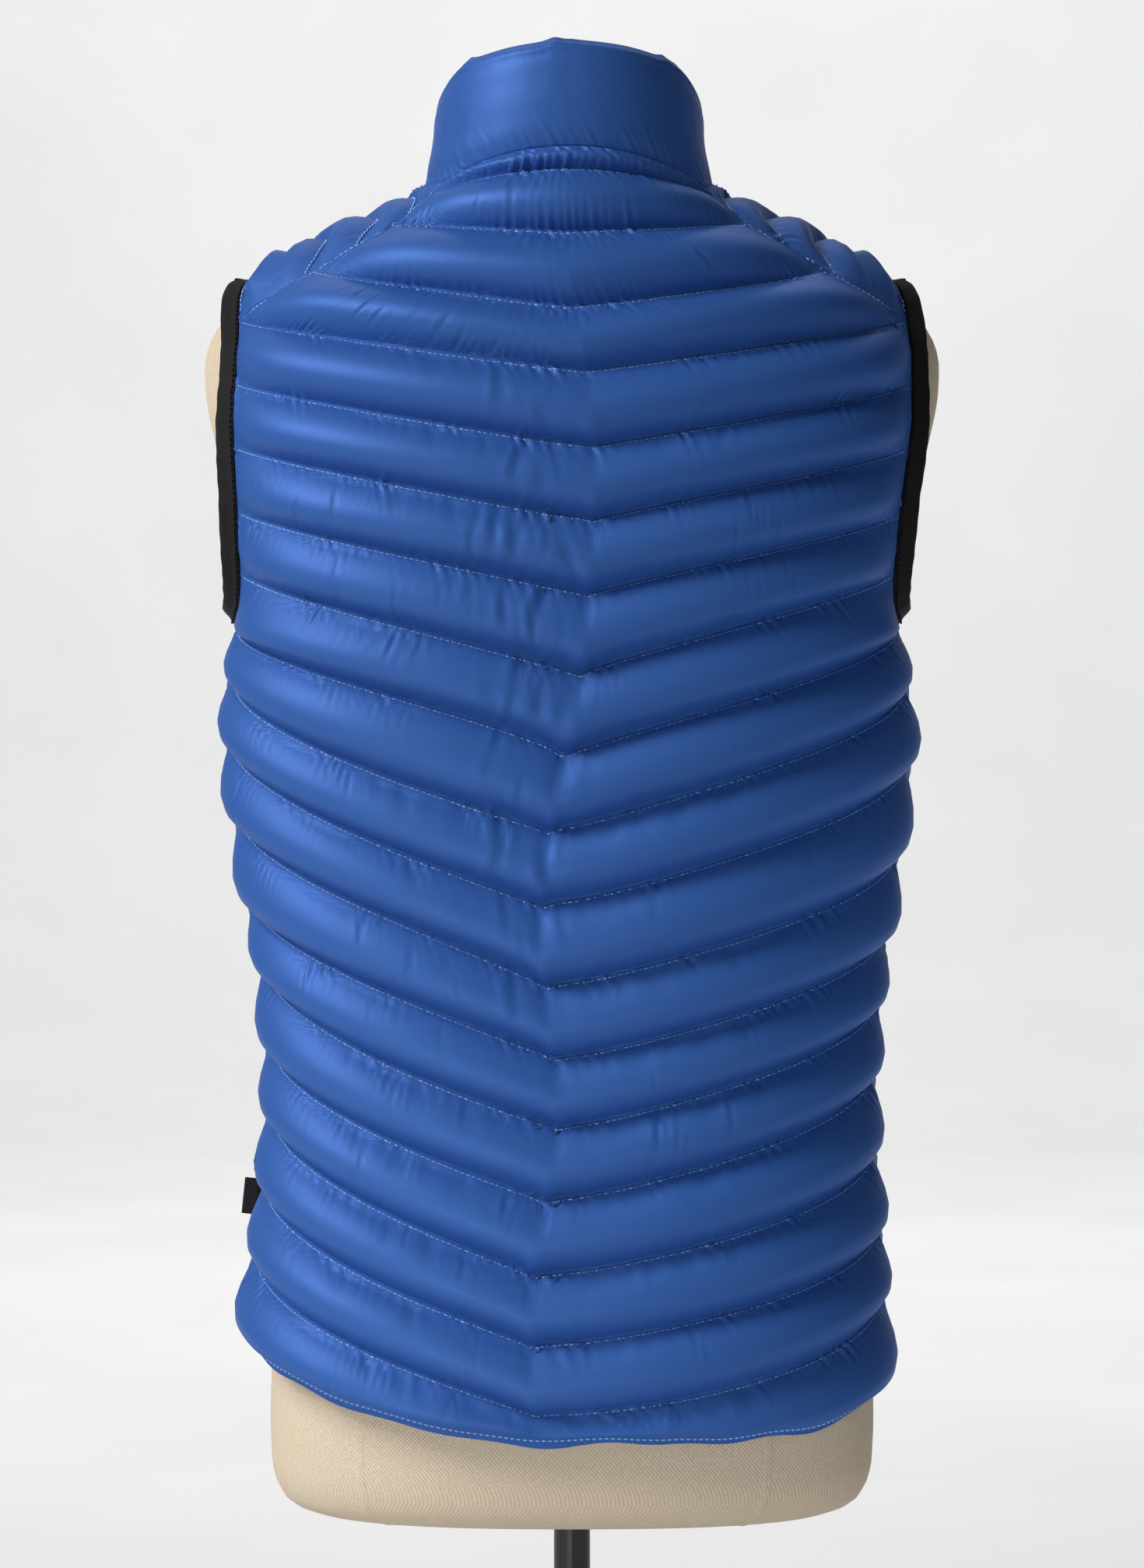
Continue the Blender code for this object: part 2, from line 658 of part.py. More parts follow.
def make_zip(collection):
    """The zip's closed chain on its tape, from the hem to the top of the collar."""
    low, high = FRONT_SEAMS[0][1], COLLAR_TOP[-1][1]
    height = np.linspace(low + 0.001, high - 0.002, round((high - low) / ZIP_STEP))
    line = zip_line(height)
    normal = outward(np.full(height.shape, math.pi), height)
    half, chain = ZIP_HALF_GAP - SEAM_GAP, ZIP_CHAIN
    deep = -CLOTH_WALL + 0.0004
    face = deep + ZIP_TAPE
    profile = (
        (-half, deep),
        (-half, face),
        (-chain, face),
        (-chain, face + ZIP_CHAIN_RISE),
        (chain, face + ZIP_CHAIN_RISE),
        (chain, face),
        (half, face),
        (half, deep),
    )
    rings = [line + np.array((x, 0, 0)) + normal * out for x, out in profile]
    sections = np.stack(rings, axis=1)
    band = bmesh.new()
    loops = [[band.verts.new(p) for p in ring] for ring in sections]
    sides = len(profile)
    for here, on in zip(loops[:-1], loops[1:]):
        for s in range(sides):
            band.faces.new((here[s], here[(s + 1) % sides], on[(s + 1) % sides], on[s]))
    band.faces.new(loops[0])
    band.faces.new(loops[-1])
    bmesh.ops.recalc_face_normals(band, faces=band.faces)
    mesh = bpy.data.meshes.new("front_zip")
    band.to_mesh(mesh)
    band.free()
    add_object("front_zip", mesh, "black_tape", collection)


def box_mesh(name, size, centre):
    """A box as a mesh, moved to its centre."""
    shape = bmesh.new()
    bmesh.ops.create_cube(shape, size=1.0, matrix=Matrix.Diagonal((*size, 1.0)))
    bmesh.ops.translate(shape, verts=shape.verts, vec=centre)
    mesh = bpy.data.meshes.new(name)
    shape.to_mesh(mesh)
    shape.free()
    return mesh


def add_cutter(name, mesh, helpers):
    """A helper for a Boolean, which isn't a part of the object."""
    helper = bpy.data.objects.new(name, mesh)
    helpers.objects.link(helper)
    helper.hide_render = True
    helper.display_type = "WIRE"
    return helper


def join_with(target, helper, operation):
    """A Boolean modifier on the target."""
    modifier = target.modifiers.new(helper.name, "BOOLEAN")
    modifier.operation = operation
    modifier.object = helper


def cross_cylinder(name, radius, length, segments):
    """A cylinder whose axis runs across the body."""
    shape = bmesh.new()
    bmesh.ops.create_cone(
        shape,
        cap_ends=True,
        segments=segments,
        radius1=radius,
        radius2=radius,
        depth=length,
        matrix=Matrix.Rotation(math.pi / 2, 4, "Y"),
    )
    mesh = bpy.data.meshes.new(name)
    shape.to_mesh(mesh)
    shape.free()
    return mesh


def slider_pivot():
    """The middle of the pin that the pull tab hangs on."""
    on_zip = zip_line(np.array(SLIDER_HEIGHT))
    return Vector(on_zip) + Vector((0, -TOUCH_GAP - SLIDER_SIZE[1] - PIN_REACH, 0))


def make_slider(collection, helpers):
    """The slider with two ears and a pin, and the pull tab that swings on the pin."""
    pivot = slider_pivot()
    body_mesh = box_mesh("zip_slider", SLIDER_SIZE, (0, PIN_REACH + SLIDER_SIZE[1] / 2, 0))
    slider = add_object("zip_slider", body_mesh, "dark_metal", collection)
    reach = SLIDER_SIZE[2] / 2
    below, above = zip_line(np.array((SLIDER_HEIGHT - reach, SLIDER_HEIGHT + reach)))
    lean = (math.atan2(below[1] - above[1], 2 * reach), 0, 0)
    slider.location, slider.rotation_euler = pivot, lean
    slider.data.shade_flat()
    ear_centre = PIN_REACH + SLIDER_SIZE[1] / 8 - EAR_SIZE[1] / 2
    for index, side in enumerate((-1, 1)):
        ear_mesh = box_mesh("ear", EAR_SIZE, (side * EAR_SPACING / 2, ear_centre, 0))
        ear = add_cutter(f"ear_{index}", ear_mesh, helpers)
        ear.location, ear.rotation_euler = pivot, lean
        join_with(slider, ear, "UNION")
    pin_mesh = cross_cylinder("pin", PIN_RADIUS, EAR_SPACING, 12)
    pin = add_cutter("pin", pin_mesh, helpers)
    pin.location = pivot
    join_with(slider, pin, "UNION")

    width, _, length = PULL_SIZE
    pull_mesh = box_mesh("zip_pull", PULL_SIZE, (0, 0, PULL_END - length / 2))
    pull = add_object("zip_pull", pull_mesh, "dark_metal", collection)
    pull.location = pivot
    pull.data.shade_flat()
    barrel = add_cutter("barrel", cross_cylinder("barrel", PULL_BARREL, width, 16), helpers)
    eye = add_cutter("eye", cross_cylinder("eye", PULL_EYE, width * 2, 16), helpers)
    for helper, operation in ((barrel, "UNION"), (eye, "DIFFERENCE")):
        helper.location = pivot
        join_with(pull, helper, operation)


def make_label(collection):
    """The small bare flag label that stands out of the left side seam."""
    length, _, tall = LABEL_SIZE
    ends = np.array((LABEL_HEIGHT - tall / 2, LABEL_HEIGHT + tall / 2))
    below, above = skin(np.full(2, math.pi / 2), ends)
    root = Vector((below + above) / 2)
    lean = math.atan2(above[0] - below[0], tall)
    label_mesh = box_mesh("side_label", LABEL_SIZE, (length / 2, 0, 0))
    label = add_object("side_label", label_mesh, "black_tape", collection)
    label.location = root + Vector((BACK_PUFF * EDGE_LIFT + TOUCH_GAP, 0, 0))
    label.rotation_euler = (0, lean, 0)
    label.data.shade_flat()


def make_form(collection):
    """The limbless dress form: a smooth closed body with rounded shoulders and a short neck."""
    turn = np.linspace(0, 2 * math.pi, FORM_POINTS, endpoint=False)
    body = bmesh.new()
    loops = []
    for height, half_width, back, front, square in FORM_SECTIONS:
        points = on_section(turn, height, half_width, half_width, back, front, square)
        loops.append([body.verts.new(p) for p in points])
    for here, on in zip(loops[:-1], loops[1:]):
        for s in range(FORM_POINTS):
            after = (s + 1) % FORM_POINTS
            body.faces.new((here[s], here[after], on[after], on[s]))
    body.faces.new(loops[0])
    body.faces.new(loops[-1])
    bmesh.ops.recalc_face_normals(body, faces=body.faces)
    mesh = bpy.data.meshes.new("dress_form")
    body.to_mesh(mesh)
    body.free()
    add_object("dress_form", mesh, "linen", collection)


def turned(name, profile, steps, finish, collection):
    """A solid turned round the Z axis from a profile that runs down its outer side."""
    mesh = bpy.data.meshes.new(name)
    points = [(radius, 0.0, height) for radius, height in profile]
    mesh.from_pydata(points, [(k, k + 1) for k in range(len(points) - 1)], [])
    solid = add_object(name, mesh, finish, collection)
    screw = solid.modifiers.new("turn", "SCREW")
    screw.steps = steps
    screw.render_steps = steps
    screw.use_merge_vertices = True
    screw.merge_threshold = 0.0001
    return solid


def make_stand(collection):
    """The weighted round plate and the pole that carries the form."""
    plate = (
        (0.0, HUB_HEIGHT),
        (HUB_RADIUS - 0.003, HUB_HEIGHT),
        (HUB_RADIUS, HUB_HEIGHT - 0.003),
        (HUB_RADIUS + 0.002, PLATE_THICKNESS + 0.004),
        (HUB_RADIUS + 0.006, PLATE_THICKNESS + 0.001),
        (PLATE_RADIUS - 0.006, PLATE_THICKNESS - 0.001),
        (PLATE_RADIUS - 0.001, PLATE_THICKNESS - 0.004),
        (PLATE_RADIUS, 0.002),
        (PLATE_RADIUS - 0.001, 0.0),
        (0.0, 0.0),
    )
    turned("stand_plate", plate, 48, "stand_black", collection)
    low, high = HUB_HEIGHT + TOUCH_GAP, FORM_BASE - TOUCH_GAP
    pole = ((0.0, high), (POLE_RADIUS, high), (POLE_RADIUS, low), (0.0, low))
    turned("stand_pole", pole, 24, "stand_black", collection)


def main():
    for old in list(bpy.data.objects):
        bpy.data.objects.remove(old)
    garment = bpy.data.collections.new("puffer_vest_on_form")
    helpers = bpy.data.collections.new("cutters")
    for made in (garment, helpers):
        bpy.context.scene.collection.children.link(made)
    make_panels(garment)
    make_collar(garment)
    make_tape("armhole_tape_left", 1, garment)
    make_tape("armhole_tape_right", -1, garment)
    make_zip(garment)
    make_slider(garment, helpers)
    make_label(garment)
    make_form(garment)
    make_stand(garment)


main()
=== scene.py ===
"""Cloth, quilting, trims, finishes and studio for a sleeveless quilted jacket on a dress form.

Heights in the tables are above the underside of the form. The back faces +Y and the wearer's
left is +X. An angle runs round the body from the centre back, positive to the left.
"""

import math

import bpy
import numpy as np
from bpy.props import FloatProperty, FloatVectorProperty, IntProperty, PointerProperty
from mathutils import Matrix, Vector


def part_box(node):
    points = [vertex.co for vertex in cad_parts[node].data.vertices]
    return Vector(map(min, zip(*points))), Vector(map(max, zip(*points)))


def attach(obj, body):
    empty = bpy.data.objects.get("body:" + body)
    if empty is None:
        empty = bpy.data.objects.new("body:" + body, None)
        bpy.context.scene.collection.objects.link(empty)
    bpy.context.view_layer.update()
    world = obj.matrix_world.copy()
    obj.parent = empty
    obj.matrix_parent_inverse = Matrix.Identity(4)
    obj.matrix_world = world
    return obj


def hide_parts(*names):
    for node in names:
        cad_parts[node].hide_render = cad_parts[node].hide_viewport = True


bl_info = {
    "name": "Quilted Vest Finish",
    "version": (1, 0, 0),
    "blender": (4, 5, 0),
    "location": "3D View > Sidebar > Vest",
    "description": "Puffed cloth, stitching, trims and a studio for a vest on a dress form",
    "category": "Object",
}

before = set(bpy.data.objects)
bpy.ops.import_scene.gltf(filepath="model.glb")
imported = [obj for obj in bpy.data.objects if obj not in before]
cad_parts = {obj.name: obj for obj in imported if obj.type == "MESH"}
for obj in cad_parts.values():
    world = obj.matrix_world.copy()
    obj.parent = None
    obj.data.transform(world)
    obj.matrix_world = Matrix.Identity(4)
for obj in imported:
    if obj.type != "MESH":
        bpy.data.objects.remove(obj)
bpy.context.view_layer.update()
BODY = "vest_on_form"
FORM_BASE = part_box("dress_form")[0].z

# Sizes shared with the garment's solids, in metres.
CLOTH_WALL = 0.003
SEAM_GAP = 0.0003
COLLAR_PUFF = 0.004
EDGE_LIFT = 0.12
USUAL_CHANNEL = 0.036
CREST_POWER = 4
CREST_SCALE = 12.2
ZIP_HALF_GAP = 0.0062
ZIP_TAPE = 0.0014
LABEL_SIZE = (0.0098, 0.0011, 0.0200)
LABEL_HEIGHT = 0.168

# The tape's outer and under face: share of its width, way into the armhole, way off the skin
TAPE_FACE = (
    (0.0, 0.0000, 0.0008),
    (0.1, 0.0004, 0.0020),
    (0.4, 0.0036, 0.0042),
    (0.8, 0.0076, 0.0074),
    (0.95, 0.0090, 0.0078),
    (1.0, 0.0096, 0.0070),
)
TAPE_UNDER = (
    (0.0, 0.0000, -0.0036),
    (0.1, 0.0012, -0.0032),
    (0.4, 0.0052, 0.0006),
    (0.8, 0.0086, 0.0046),
    (0.95, 0.0098, 0.0058),
    (1.0, 0.0100, 0.0064),
)

# Finer sizes of the cloth and its sewing, in metres.
HEM_STRIP = 0.006
EDGE_ROLL = 0.024
STITCH_PITCH = 0.0033
STITCH_LENGTH = 0.0023
STITCH_RADIUS = 0.0006
THREAD_LIFT = 0.0001
TAPE_WALL = 0.0012
SEWN_RISE = 0.001
LEAST_RISE = 0.0003
NEAR_SEAM = 0.007
FINER_TIMES = 3

# A channel's fill: the share of its width where it is fullest, how round it is above that, how
# much its width counts, and its least and greatest share of the usual rise
FULLEST = 0.42
UPPER_POWER = 0.82
WIDTH_POWER = 0.65
FULL_RANGE = (0.35, 1.12)
EDGE_POWER = 1.4
# The share of the simulated move that is kept away from the seams, and where it is reached
MIDDLE_SHARE = 0.2
MIDDLE_FADE = (0.004, 0.012)
# The pressed hem: the share of its rise that is kept, and where it ends, in strip widths
HEM_KEPT = 0.10
HEM_FADE = (0.85, 1.5)
HEM_WAVE = 0.0012
HEM_WAVES = (0.052, 0.088, 0.149)

# Small gathers along a seam: their reach below and above it, where they begin, the lengths of
# their waves and of the patches of stronger ones. Strengths: usual, spread, least and most.
GATHER_REACH = (0.0038, 0.0028)
GATHER_START = 0.0008
GATHER_WAVES = (0.0047, 0.0059, 0.0081)
GATHER_PATCHES = (0.043, 0.071, 0.118)
GATHER_STRENGTH = (0.3, 1.1, 0.15, 1.5)
# They are strongest in a band beside the centre: its place to the left, reach and rise
PINCH_PLACE = 0.006
PINCH_REACH = 0.024
PINCH_RISE = 1.1
# A fold is pressed just under a seam, with a groove below it
FOLD_PLACE, FOLD_REACH, FOLD_RISE = 0.0015, 0.0009, 0.00060
GROOVE_PLACE, GROOVE_REACH, GROOVE_DEPTH = 0.0031, 0.0008, 0.00065
WELT_PATCHES = (0.061, 0.097)
WELT_STRENGTH = (0.5, 1.0, 0.0, 1.0)
# Gathers along a panel's two sewn sides
EDGE_REACH = 0.0055
EDGE_START = 0.001
EDGE_WAVES = (0.0049, 0.0067, 0.0092)
EDGE_PATCHES = (0.047, 0.083)
EDGE_STRENGTH = (0.5, 0.8, 0.2, 1.4)
# The extra sewn line at a shoulder: half its width, its depth, and where it fades out
VALLEY_REACH = 0.0045
VALLEY_DEPTH = 0.006
VALLEY_FADE = (0.05, 0.13)

# Soft upright creases: their number, depth, distances to the left, heights and widths
CREASES = 8
CREASE_DEPTH = 0.0011
CREASE_PLACES = (-0.008, 0.040)
CREASE_HEIGHTS = (0.28, 0.60)
CREASE_FADE = 0.03
CREASE_WIDTHS = (0.0016, 0.0034)
CREASE_WANDER = 0.005
CREASE_WAVES = (0.11, 0.062)
CREASE_PATCHES = (0.083, 0.047)
CREASE_STRENGTH = (-0.1, 1.0, 0.0, 1.4)
# Single short creases: lean, bend, and the ranges of their lengths, widths and depths
STRAY_LEAN = 0.7
STRAY_BEND = 16
STRAY_REACH = 0.01
STRAY_LENGTHS = (0.007, 0.017)
STRAY_WIDTHS = (0.0012, 0.0018)
STRAY_DEPTHS = (0.0005, 0.0011)

# A wavy line drifts in phase, over a longer wave length
TURN = 2 * math.pi
ANY_PHASE = 6.3
DRIFT = 0.9
DRIFT_LENGTH = 5.3

# A stitch's rings: share of its radius, share of its rise
STITCH_SIDES = 5
STITCH_RINGS = ((0.5, 0.0), (1.0, 1.0), (0.5, 0.0))

# The armhole tape's steps and waves, and the share of its folded outline that is its width
TAPE_STEPS = 360
TAPE_LOOP = 0.6
TAPE_WAVE = 0.00022
TAPE_WAVE_COUNTS = (41, 23, 9)

# The collar's grid and cloth. Its gathers reach up and begin at shares of its height.
COLLAR_COLUMNS = 181
COLLAR_PRESSURE = 0.6
COLLAR_MOVE = 0.0045
COLLAR_LEAST = 0.3
COLLAR_HEIGHT = 0.06
COLLAR_WAVES = (0.0052, 0.0071, 0.0113)
COLLAR_GATHER = 0.006 / 0.055
COLLAR_START = 0.03
COLLAR_DEPTH = 0.35

# The zip's cord behind the teeth, and a tooth: width, height, and rings off the tape
ZIP_CORD = 0.0022
ZIP_SLOPE = 0.0004
TOOTH_PITCH = 0.0030
TOOTH_SIZE = (0.0028, 0.0012)
TOOTH_ASIDE = 0.0008
TOOTH_RINGS = ((0.0003, 1.0), (0.0012, 1.0), (0.0015, 0.7))

# The label's outer face: share of its reach, share of half its thickness
LABEL_EDGE = ((0, 1), (0.3, 1), (0.6, 0.95), (0.85, 0.9), (0.96, 0.65), (1, 0))
LABEL_OUT = 0.0034
LABEL_BEND = 0.0005

# The form's cover: the step between rows, its upright seams in degrees, the radius that turns
# a distance into an angle, the room kept round a seam, and a seam's own columns beside it
COVER_STEP = 0.006
COVER_SEAMS = (38.0, -34.0, 146.0, -146.0)
COVER_RADIUS = 0.11
COVER_CLEAR = 0.04
BESIDE_SEAM = (0.00035, 0.0007, 0.0012, 0.0020, 0.0035)
COVER_RIDGE, RIDGE_REACH = 0.0007, 0.0012
COVER_GROOVE, COVER_GROOVE_REACH = 0.0005, 0.0004

# The studio's floor reaches from in front of the camera to far back, and curves up into a wall
FLOOR_NEAR = 5.6
FLOOR_FAR = -5.2
FLOOR_BEND = 1.6
FLOOR_HALF = 7.0
WALL_TOP = 5.0
AIR_COLOUR = (0.9, 0.92, 0.95, 1)
MIDDLE = (0.0, 0.0, 0.65)
# Lamps: name, setting of its power, place, what it faces, size, colour, spread in degrees
LAMPS = (
    ("key_light", "key_power", (1.95, 1.15, 2.4), MIDDLE, 1.2, (1.0, 0.985, 0.96), 180),
    ("fill_light", "fill_power", (-1.9, 1.6, 0.9), MIDDLE, 1.8, (0.93, 0.96, 1.0), 180),
    ("back_light", "back_power", (0.0, -2.6, 4.4), (0.0, -6.0, 0.8), 3.0, (1.0, 1.0, 1.0), 180),
    ("low_light", "low_power", (0.7, 1.7, 0.30), (0.0, 0.0, 0.31), 0.5, (1.0, 0.98, 0.95), 40),
)

# A Mix node's sockets for colours, which share their names with its other ones
FIRST_MIX_COLOUR, SECOND_MIX_COLOUR, MIXED_COLOUR = 6, 7, 2

# Shares of a channel, from its lower seam to its upper one, for the simulated and the fine rows
CLOTH_ROWS = (0.0, 0.06, 0.16, 0.30, 0.46, 0.62, 0.78, 0.92)
FINE_ROWS = (0.0, 0.02, 0.05, 0.10, 0.18, 0.30, 0.46, 0.62, 0.76, 0.86, 0.92, 0.955, 0.985)

# Sections of the garment's skin, where the quilting seams lie.
# height, left half width, right half width, depth behind, depth in front, squareness
VEST_SECTIONS = (
    (0.030, 0.178, 0.169, 0.121, 0.116, 2.50),
    (0.100, 0.178, 0.169, 0.118, 0.113, 2.45),
    (0.150, 0.1705, 0.1665, 0.113, 0.109, 2.40),
    (0.215, 0.165, 0.163, 0.108, 0.105, 2.40),
    (0.285, 0.167, 0.1665, 0.109, 0.106, 2.40),
    (0.350, 0.178, 0.1755, 0.112, 0.110, 2.40),
    (0.425, 0.187, 0.183, 0.117, 0.115, 2.40),
    (0.484, 0.184, 0.178, 0.121, 0.118, 2.40),
    (0.540, 0.191, 0.187, 0.122, 0.117, 2.40),
    (0.600, 0.195, 0.196, 0.116, 0.108, 2.25),
    (0.640, 0.189, 0.191, 0.106, 0.097, 2.05),
    (0.660, 0.185, 0.184, 0.099, 0.089, 1.90),
    (0.669, 0.180, 0.178, 0.096, 0.086, 1.82),
    (0.675, 0.171, 0.169, 0.093, 0.084, 1.79),
    (0.681, 0.160, 0.158, 0.091, 0.082, 1.78),
    (0.688, 0.147, 0.145, 0.088, 0.080, 1.79),
    (0.696, 0.129, 0.129, 0.086, 0.079, 1.82),
    (0.703, 0.111, 0.111, 0.084, 0.077, 1.89),
    (0.711, 0.096, 0.094, 0.081, 0.075, 1.98),
    (0.722, 0.082, 0.079, 0.078, 0.074, 2.10),
    (0.740, 0.0750, 0.0710, 0.075, 0.072, 2.15),
    (0.765, 0.0715, 0.0685, 0.073, 0.070, 2.15),
    (0.800, 0.0668, 0.0640, 0.070, 0.067, 2.15),
)

# Sections of the dress form: height, half width, depth behind, depth in front, squareness
FORM_SECTIONS = (
    (0.000, 0.1450, 0.0880, 0.0840, 2.50),
    (0.003, 0.1530, 0.0955, 0.0915, 2.50),
    (0.010, 0.1600, 0.1025, 0.0985, 2.50),
    (0.020, 0.1640, 0.1065, 0.1025, 2.50),
    (0.035, 0.1655, 0.1080, 0.1040, 2.50),
    (0.070, 0.1655, 0.1075, 0.1030, 2.50),
    (0.120, 0.1610, 0.1025, 0.0985, 2.45),
    (0.170, 0.1540, 0.0970, 0.0940, 2.40),
    (0.215, 0.1500, 0.0940, 0.0920, 2.40),
    (0.285, 0.1520, 0.0950, 0.0935, 2.40),
    (0.350, 0.1590, 0.0990, 0.0970, 2.40),
    (0.425, 0.1680, 0.1055, 0.1030, 2.40),
    (0.484, 0.1720, 0.1095, 0.1060, 2.30),
    (0.540, 0.1860, 0.1090, 0.1035, 2.05),
    (0.580, 0.1960, 0.1020, 0.0960, 1.85),
    (0.615, 0.2025, 0.0920, 0.0860, 1.68),
    (0.635, 0.2015, 0.0830, 0.0780, 1.55),
    (0.647, 0.1960, 0.0765, 0.0710, 1.46),
    (0.655, 0.1890, 0.0735, 0.0680, 1.44),
    (0.662, 0.1810, 0.0740, 0.0675, 1.46),
    (0.669, 0.1700, 0.0740, 0.0675, 1.50),
    (0.677, 0.1560, 0.0740, 0.0675, 1.57),
    (0.6870, 0.1360, 0.0740, 0.0675, 1.66),
    (0.6985, 0.1110, 0.0735, 0.0670, 1.78),
    (0.7087, 0.0905, 0.0725, 0.0665, 1.92),
    (0.7205, 0.0740, 0.0700, 0.0655, 2.04),
    (0.735, 0.0675, 0.0655, 0.0630, 2.10),
    (0.746, 0.0630, 0.0625, 0.0600, 2.10),
    (0.750, 0.0600, 0.0595, 0.0570, 2.10),
)

# Quilting seams of the back, hem to collar. A power under 1 bows a seam's side upwards.
# seam, height at the centre, left end, right end, left power, right power
BACK_SEAMS = (
    (0, 0.0495, 0.107, 0.081, 1.30, 3.00),
    (1, 0.0660, 0.145, 0.121, 0.86, 1.20),
    (2, 0.1020, 0.184, 0.157, 0.86, 1.05),
    (3, 0.1380, 0.224, 0.199, 0.87, 1.00),
    (4, 0.1770, 0.261, 0.242, 0.89, 0.95),
    (5, 0.2155, 0.304, 0.281, 0.93, 0.95),
    (6, 0.2520, 0.338, 0.318, 0.85, 0.95),
    (7, 0.2900, 0.384, 0.362, 0.82, 0.95),
    (8, 0.3325, 0.4265, 0.412, 0.91, 0.93),
    (9, 0.3716, 0.460, 0.453, 0.90, 0.85),
    (10, 0.4120, 0.484, 0.484, 0.68, 0.75),
    (11, 0.4540, 0.510, 0.510, 0.76, 0.75),
    (12, 0.4955, 0.543, 0.541, 0.80, 0.80),
    (13, 0.5345, 0.578, 0.577, 0.85, 0.85),
    (14, 0.5730, 0.613, 0.612, 0.90, 0.90),
    (15, 0.6130, 0.649, 0.649, 0.95, 0.95),
    (16, 0.6480, 0.673, 0.673, 1.10, 1.10),
    (17, 0.6900, 0.698, 0.698, 1.30, 1.30),
    (18, 0.7245, 0.7145, 0.7145, 1.60, 1.60),
    (19, 0.7370, 0.722, 0.722, 1.80, 1.80),
)

# Where the points of the chevrons wander from the centre back: seam, distance to the left
CHEVRON_POINTS = (
    (0, 0.010),
    (3, 0.013),
    (5, 0.004),
    (8, 0.010),
    (11, -0.002),
    (15, -0.005),
    (17, 0.004),
    (19, 0.000),
)

# The quilting seams of a front rise from the zip to the side, in a bow, and the upper ones
# lift over the crest of the shoulder: seam, height at the zip, bow, lift
FRONT_SEAMS = (
    (0, 0.0880, 0.0000, 0.0000),
    (9, 0.3660, 0.0020, 0.0000),
    (12, 0.4560, 0.0080, 0.0000),
    (14, 0.5140, 0.0090, 0.0000),
    (15, 0.5425, 0.0090, 0.0000),
    (15.333, 0.5520, 0.0120, 0.0060),
    (15.667, 0.5615, 0.0155, 0.0164),
    (16, 0.5710, 0.0273, 0.0288),
    (16.333, 0.5806, 0.0335, 0.0202),
    (17, 0.6000, 0.0328, 0.0155),
    (18, 0.6300, 0.0264, 0.0118),
    (19, 0.6600, 0.0171, 0.0098),
    (20, 0.6900, 0.0072, 0.0025),
)
# The seams of a panel that end under the arm, at the shoulder's end and at the neck
BACK_ENDS = (10, 15, 19)
FRONT_ENDS = (9, 16, 20)

# Where the seams of a front end on the shoulder seam: seam, distance from the centre
SHOULDER_ENDS = (
    (16, 0.1810),
    (17, 0.1430),
    (18, 0.1150),
    (19, 0.0880),
    (20, 0.0712),
)
# The shoulder seam, which lies behind the crest: height, distance from the centre
SHOULDER_LINE = (
    (0.6490, 0.1810),
    (0.6690, 0.1460),
    (0.6843, 0.1190),
    (0.6990, 0.0945),
    (0.7220, 0.0712),
)

# The armhole is an oval round the side: its heights, and half its angle behind and in front
UNDERARM = 0.484
ARMHOLE_TOP = 0.673
ARMHOLE_BACK = math.radians(23.0)
ARMHOLE_FRONT = math.radians(31.0)
ARMHOLE_LAST_TURN = 0.45
ARMHOLE_SQUARE = 0.55
ARMHOLE_MIDDLE = (ARMHOLE_TOP + UNDERARM) / 2
ARMHOLE_HALF = (ARMHOLE_TOP - UNDERARM) / 2

# The collar's top edge: angle in degrees, height
COLLAR_TOP = (
    (0, 0.7950),
    (30, 0.7910),
    (60, 0.7810),
    (90, 0.7700),
    (120, 0.7620),
    (150, 0.7560),
    (180, 0.7540),
)

# Where the collar's soft edge stands up: angle in degrees, rise, half width in degrees
COLLAR_POINTS = (
    (58, 0.0052, 17),
    (-58, 0.0052, 17),
    (7, 0.0020, 4),
    (52, 0.0014, 3.5),
    (-47, 0.0014, 3.5),
)

# The collar's section: share of its height, how full it is
COLLAR_PROFILE = (
    (0.00, 0.05),
    (0.12, 0.62),
    (0.35, 0.95),
    (0.62, 1.00),
    (0.86, 0.85),
    (0.97, 0.42),
    (1.00, -0.20),
)


def smooth_columns(table):
    """A function that reads the table's columns at any value of its first one, on smooth curves."""
    rows = np.array(table, float)
    keys, values = rows[:, 0], rows[:, 1:]
    step = np.diff(keys)
    slope = np.diff(values, axis=0) / step[:, None]
    before, after = step[:-1, None], step[1:, None]
    tangent = np.zeros_like(values)
    tangent[1:-1] = (slope[:-1] * after + slope[1:] * before) / (before + after)
    tangent[0], tangent[-1] = slope[0], slope[-1]

    def read(key):
        key = np.asarray(key, float)
        at = np.clip(np.searchsorted(keys, key) - 1, 0, len(step) - 1)
        t = np.clip((key - keys[at]) / step[at], 0, 1)[..., None]
        reach = step[at][..., None]
        start = values[at] * (1 + 2 * t) + tangent[at] * reach * t
        end = values[at + 1] * (3 - 2 * t) - tangent[at + 1] * reach * (1 - t)
        return np.moveaxis(start * (1 - t) ** 2 + end * t**2, -1, 0)

    return read


vest_section = smooth_columns(VEST_SECTIONS)
form_section = smooth_columns(FORM_SECTIONS)
back_seam = smooth_columns(BACK_SEAMS)
chevron_point = smooth_columns(CHEVRON_POINTS)
front_seam = smooth_columns(FRONT_SEAMS)
shoulder_end = smooth_columns(SHOULDER_ENDS)
shoulder_line = smooth_columns(SHOULDER_LINE)
collar_top = smooth_columns(COLLAR_TOP)


def on_section(angle, height, left, right, back, front, square):
    """The points at these angles on rounded sections, as an array that ends in x, y, z."""
    side, behind = np.sin(angle), np.cos(angle)
    x = np.where(side > 0, left, right) * np.sign(side) * np.abs(side) ** (2 / square)
    y = np.where(behind > 0, back, front) * np.sign(behind) * np.abs(behind) ** (2 / square)
    return np.stack([x, y, np.broadcast_to(height, x.shape) + FORM_BASE], axis=-1)


def skin(angle, height):
    """The garment's skin at an angle and a height."""
    return on_section(angle, height, *vest_section(height))


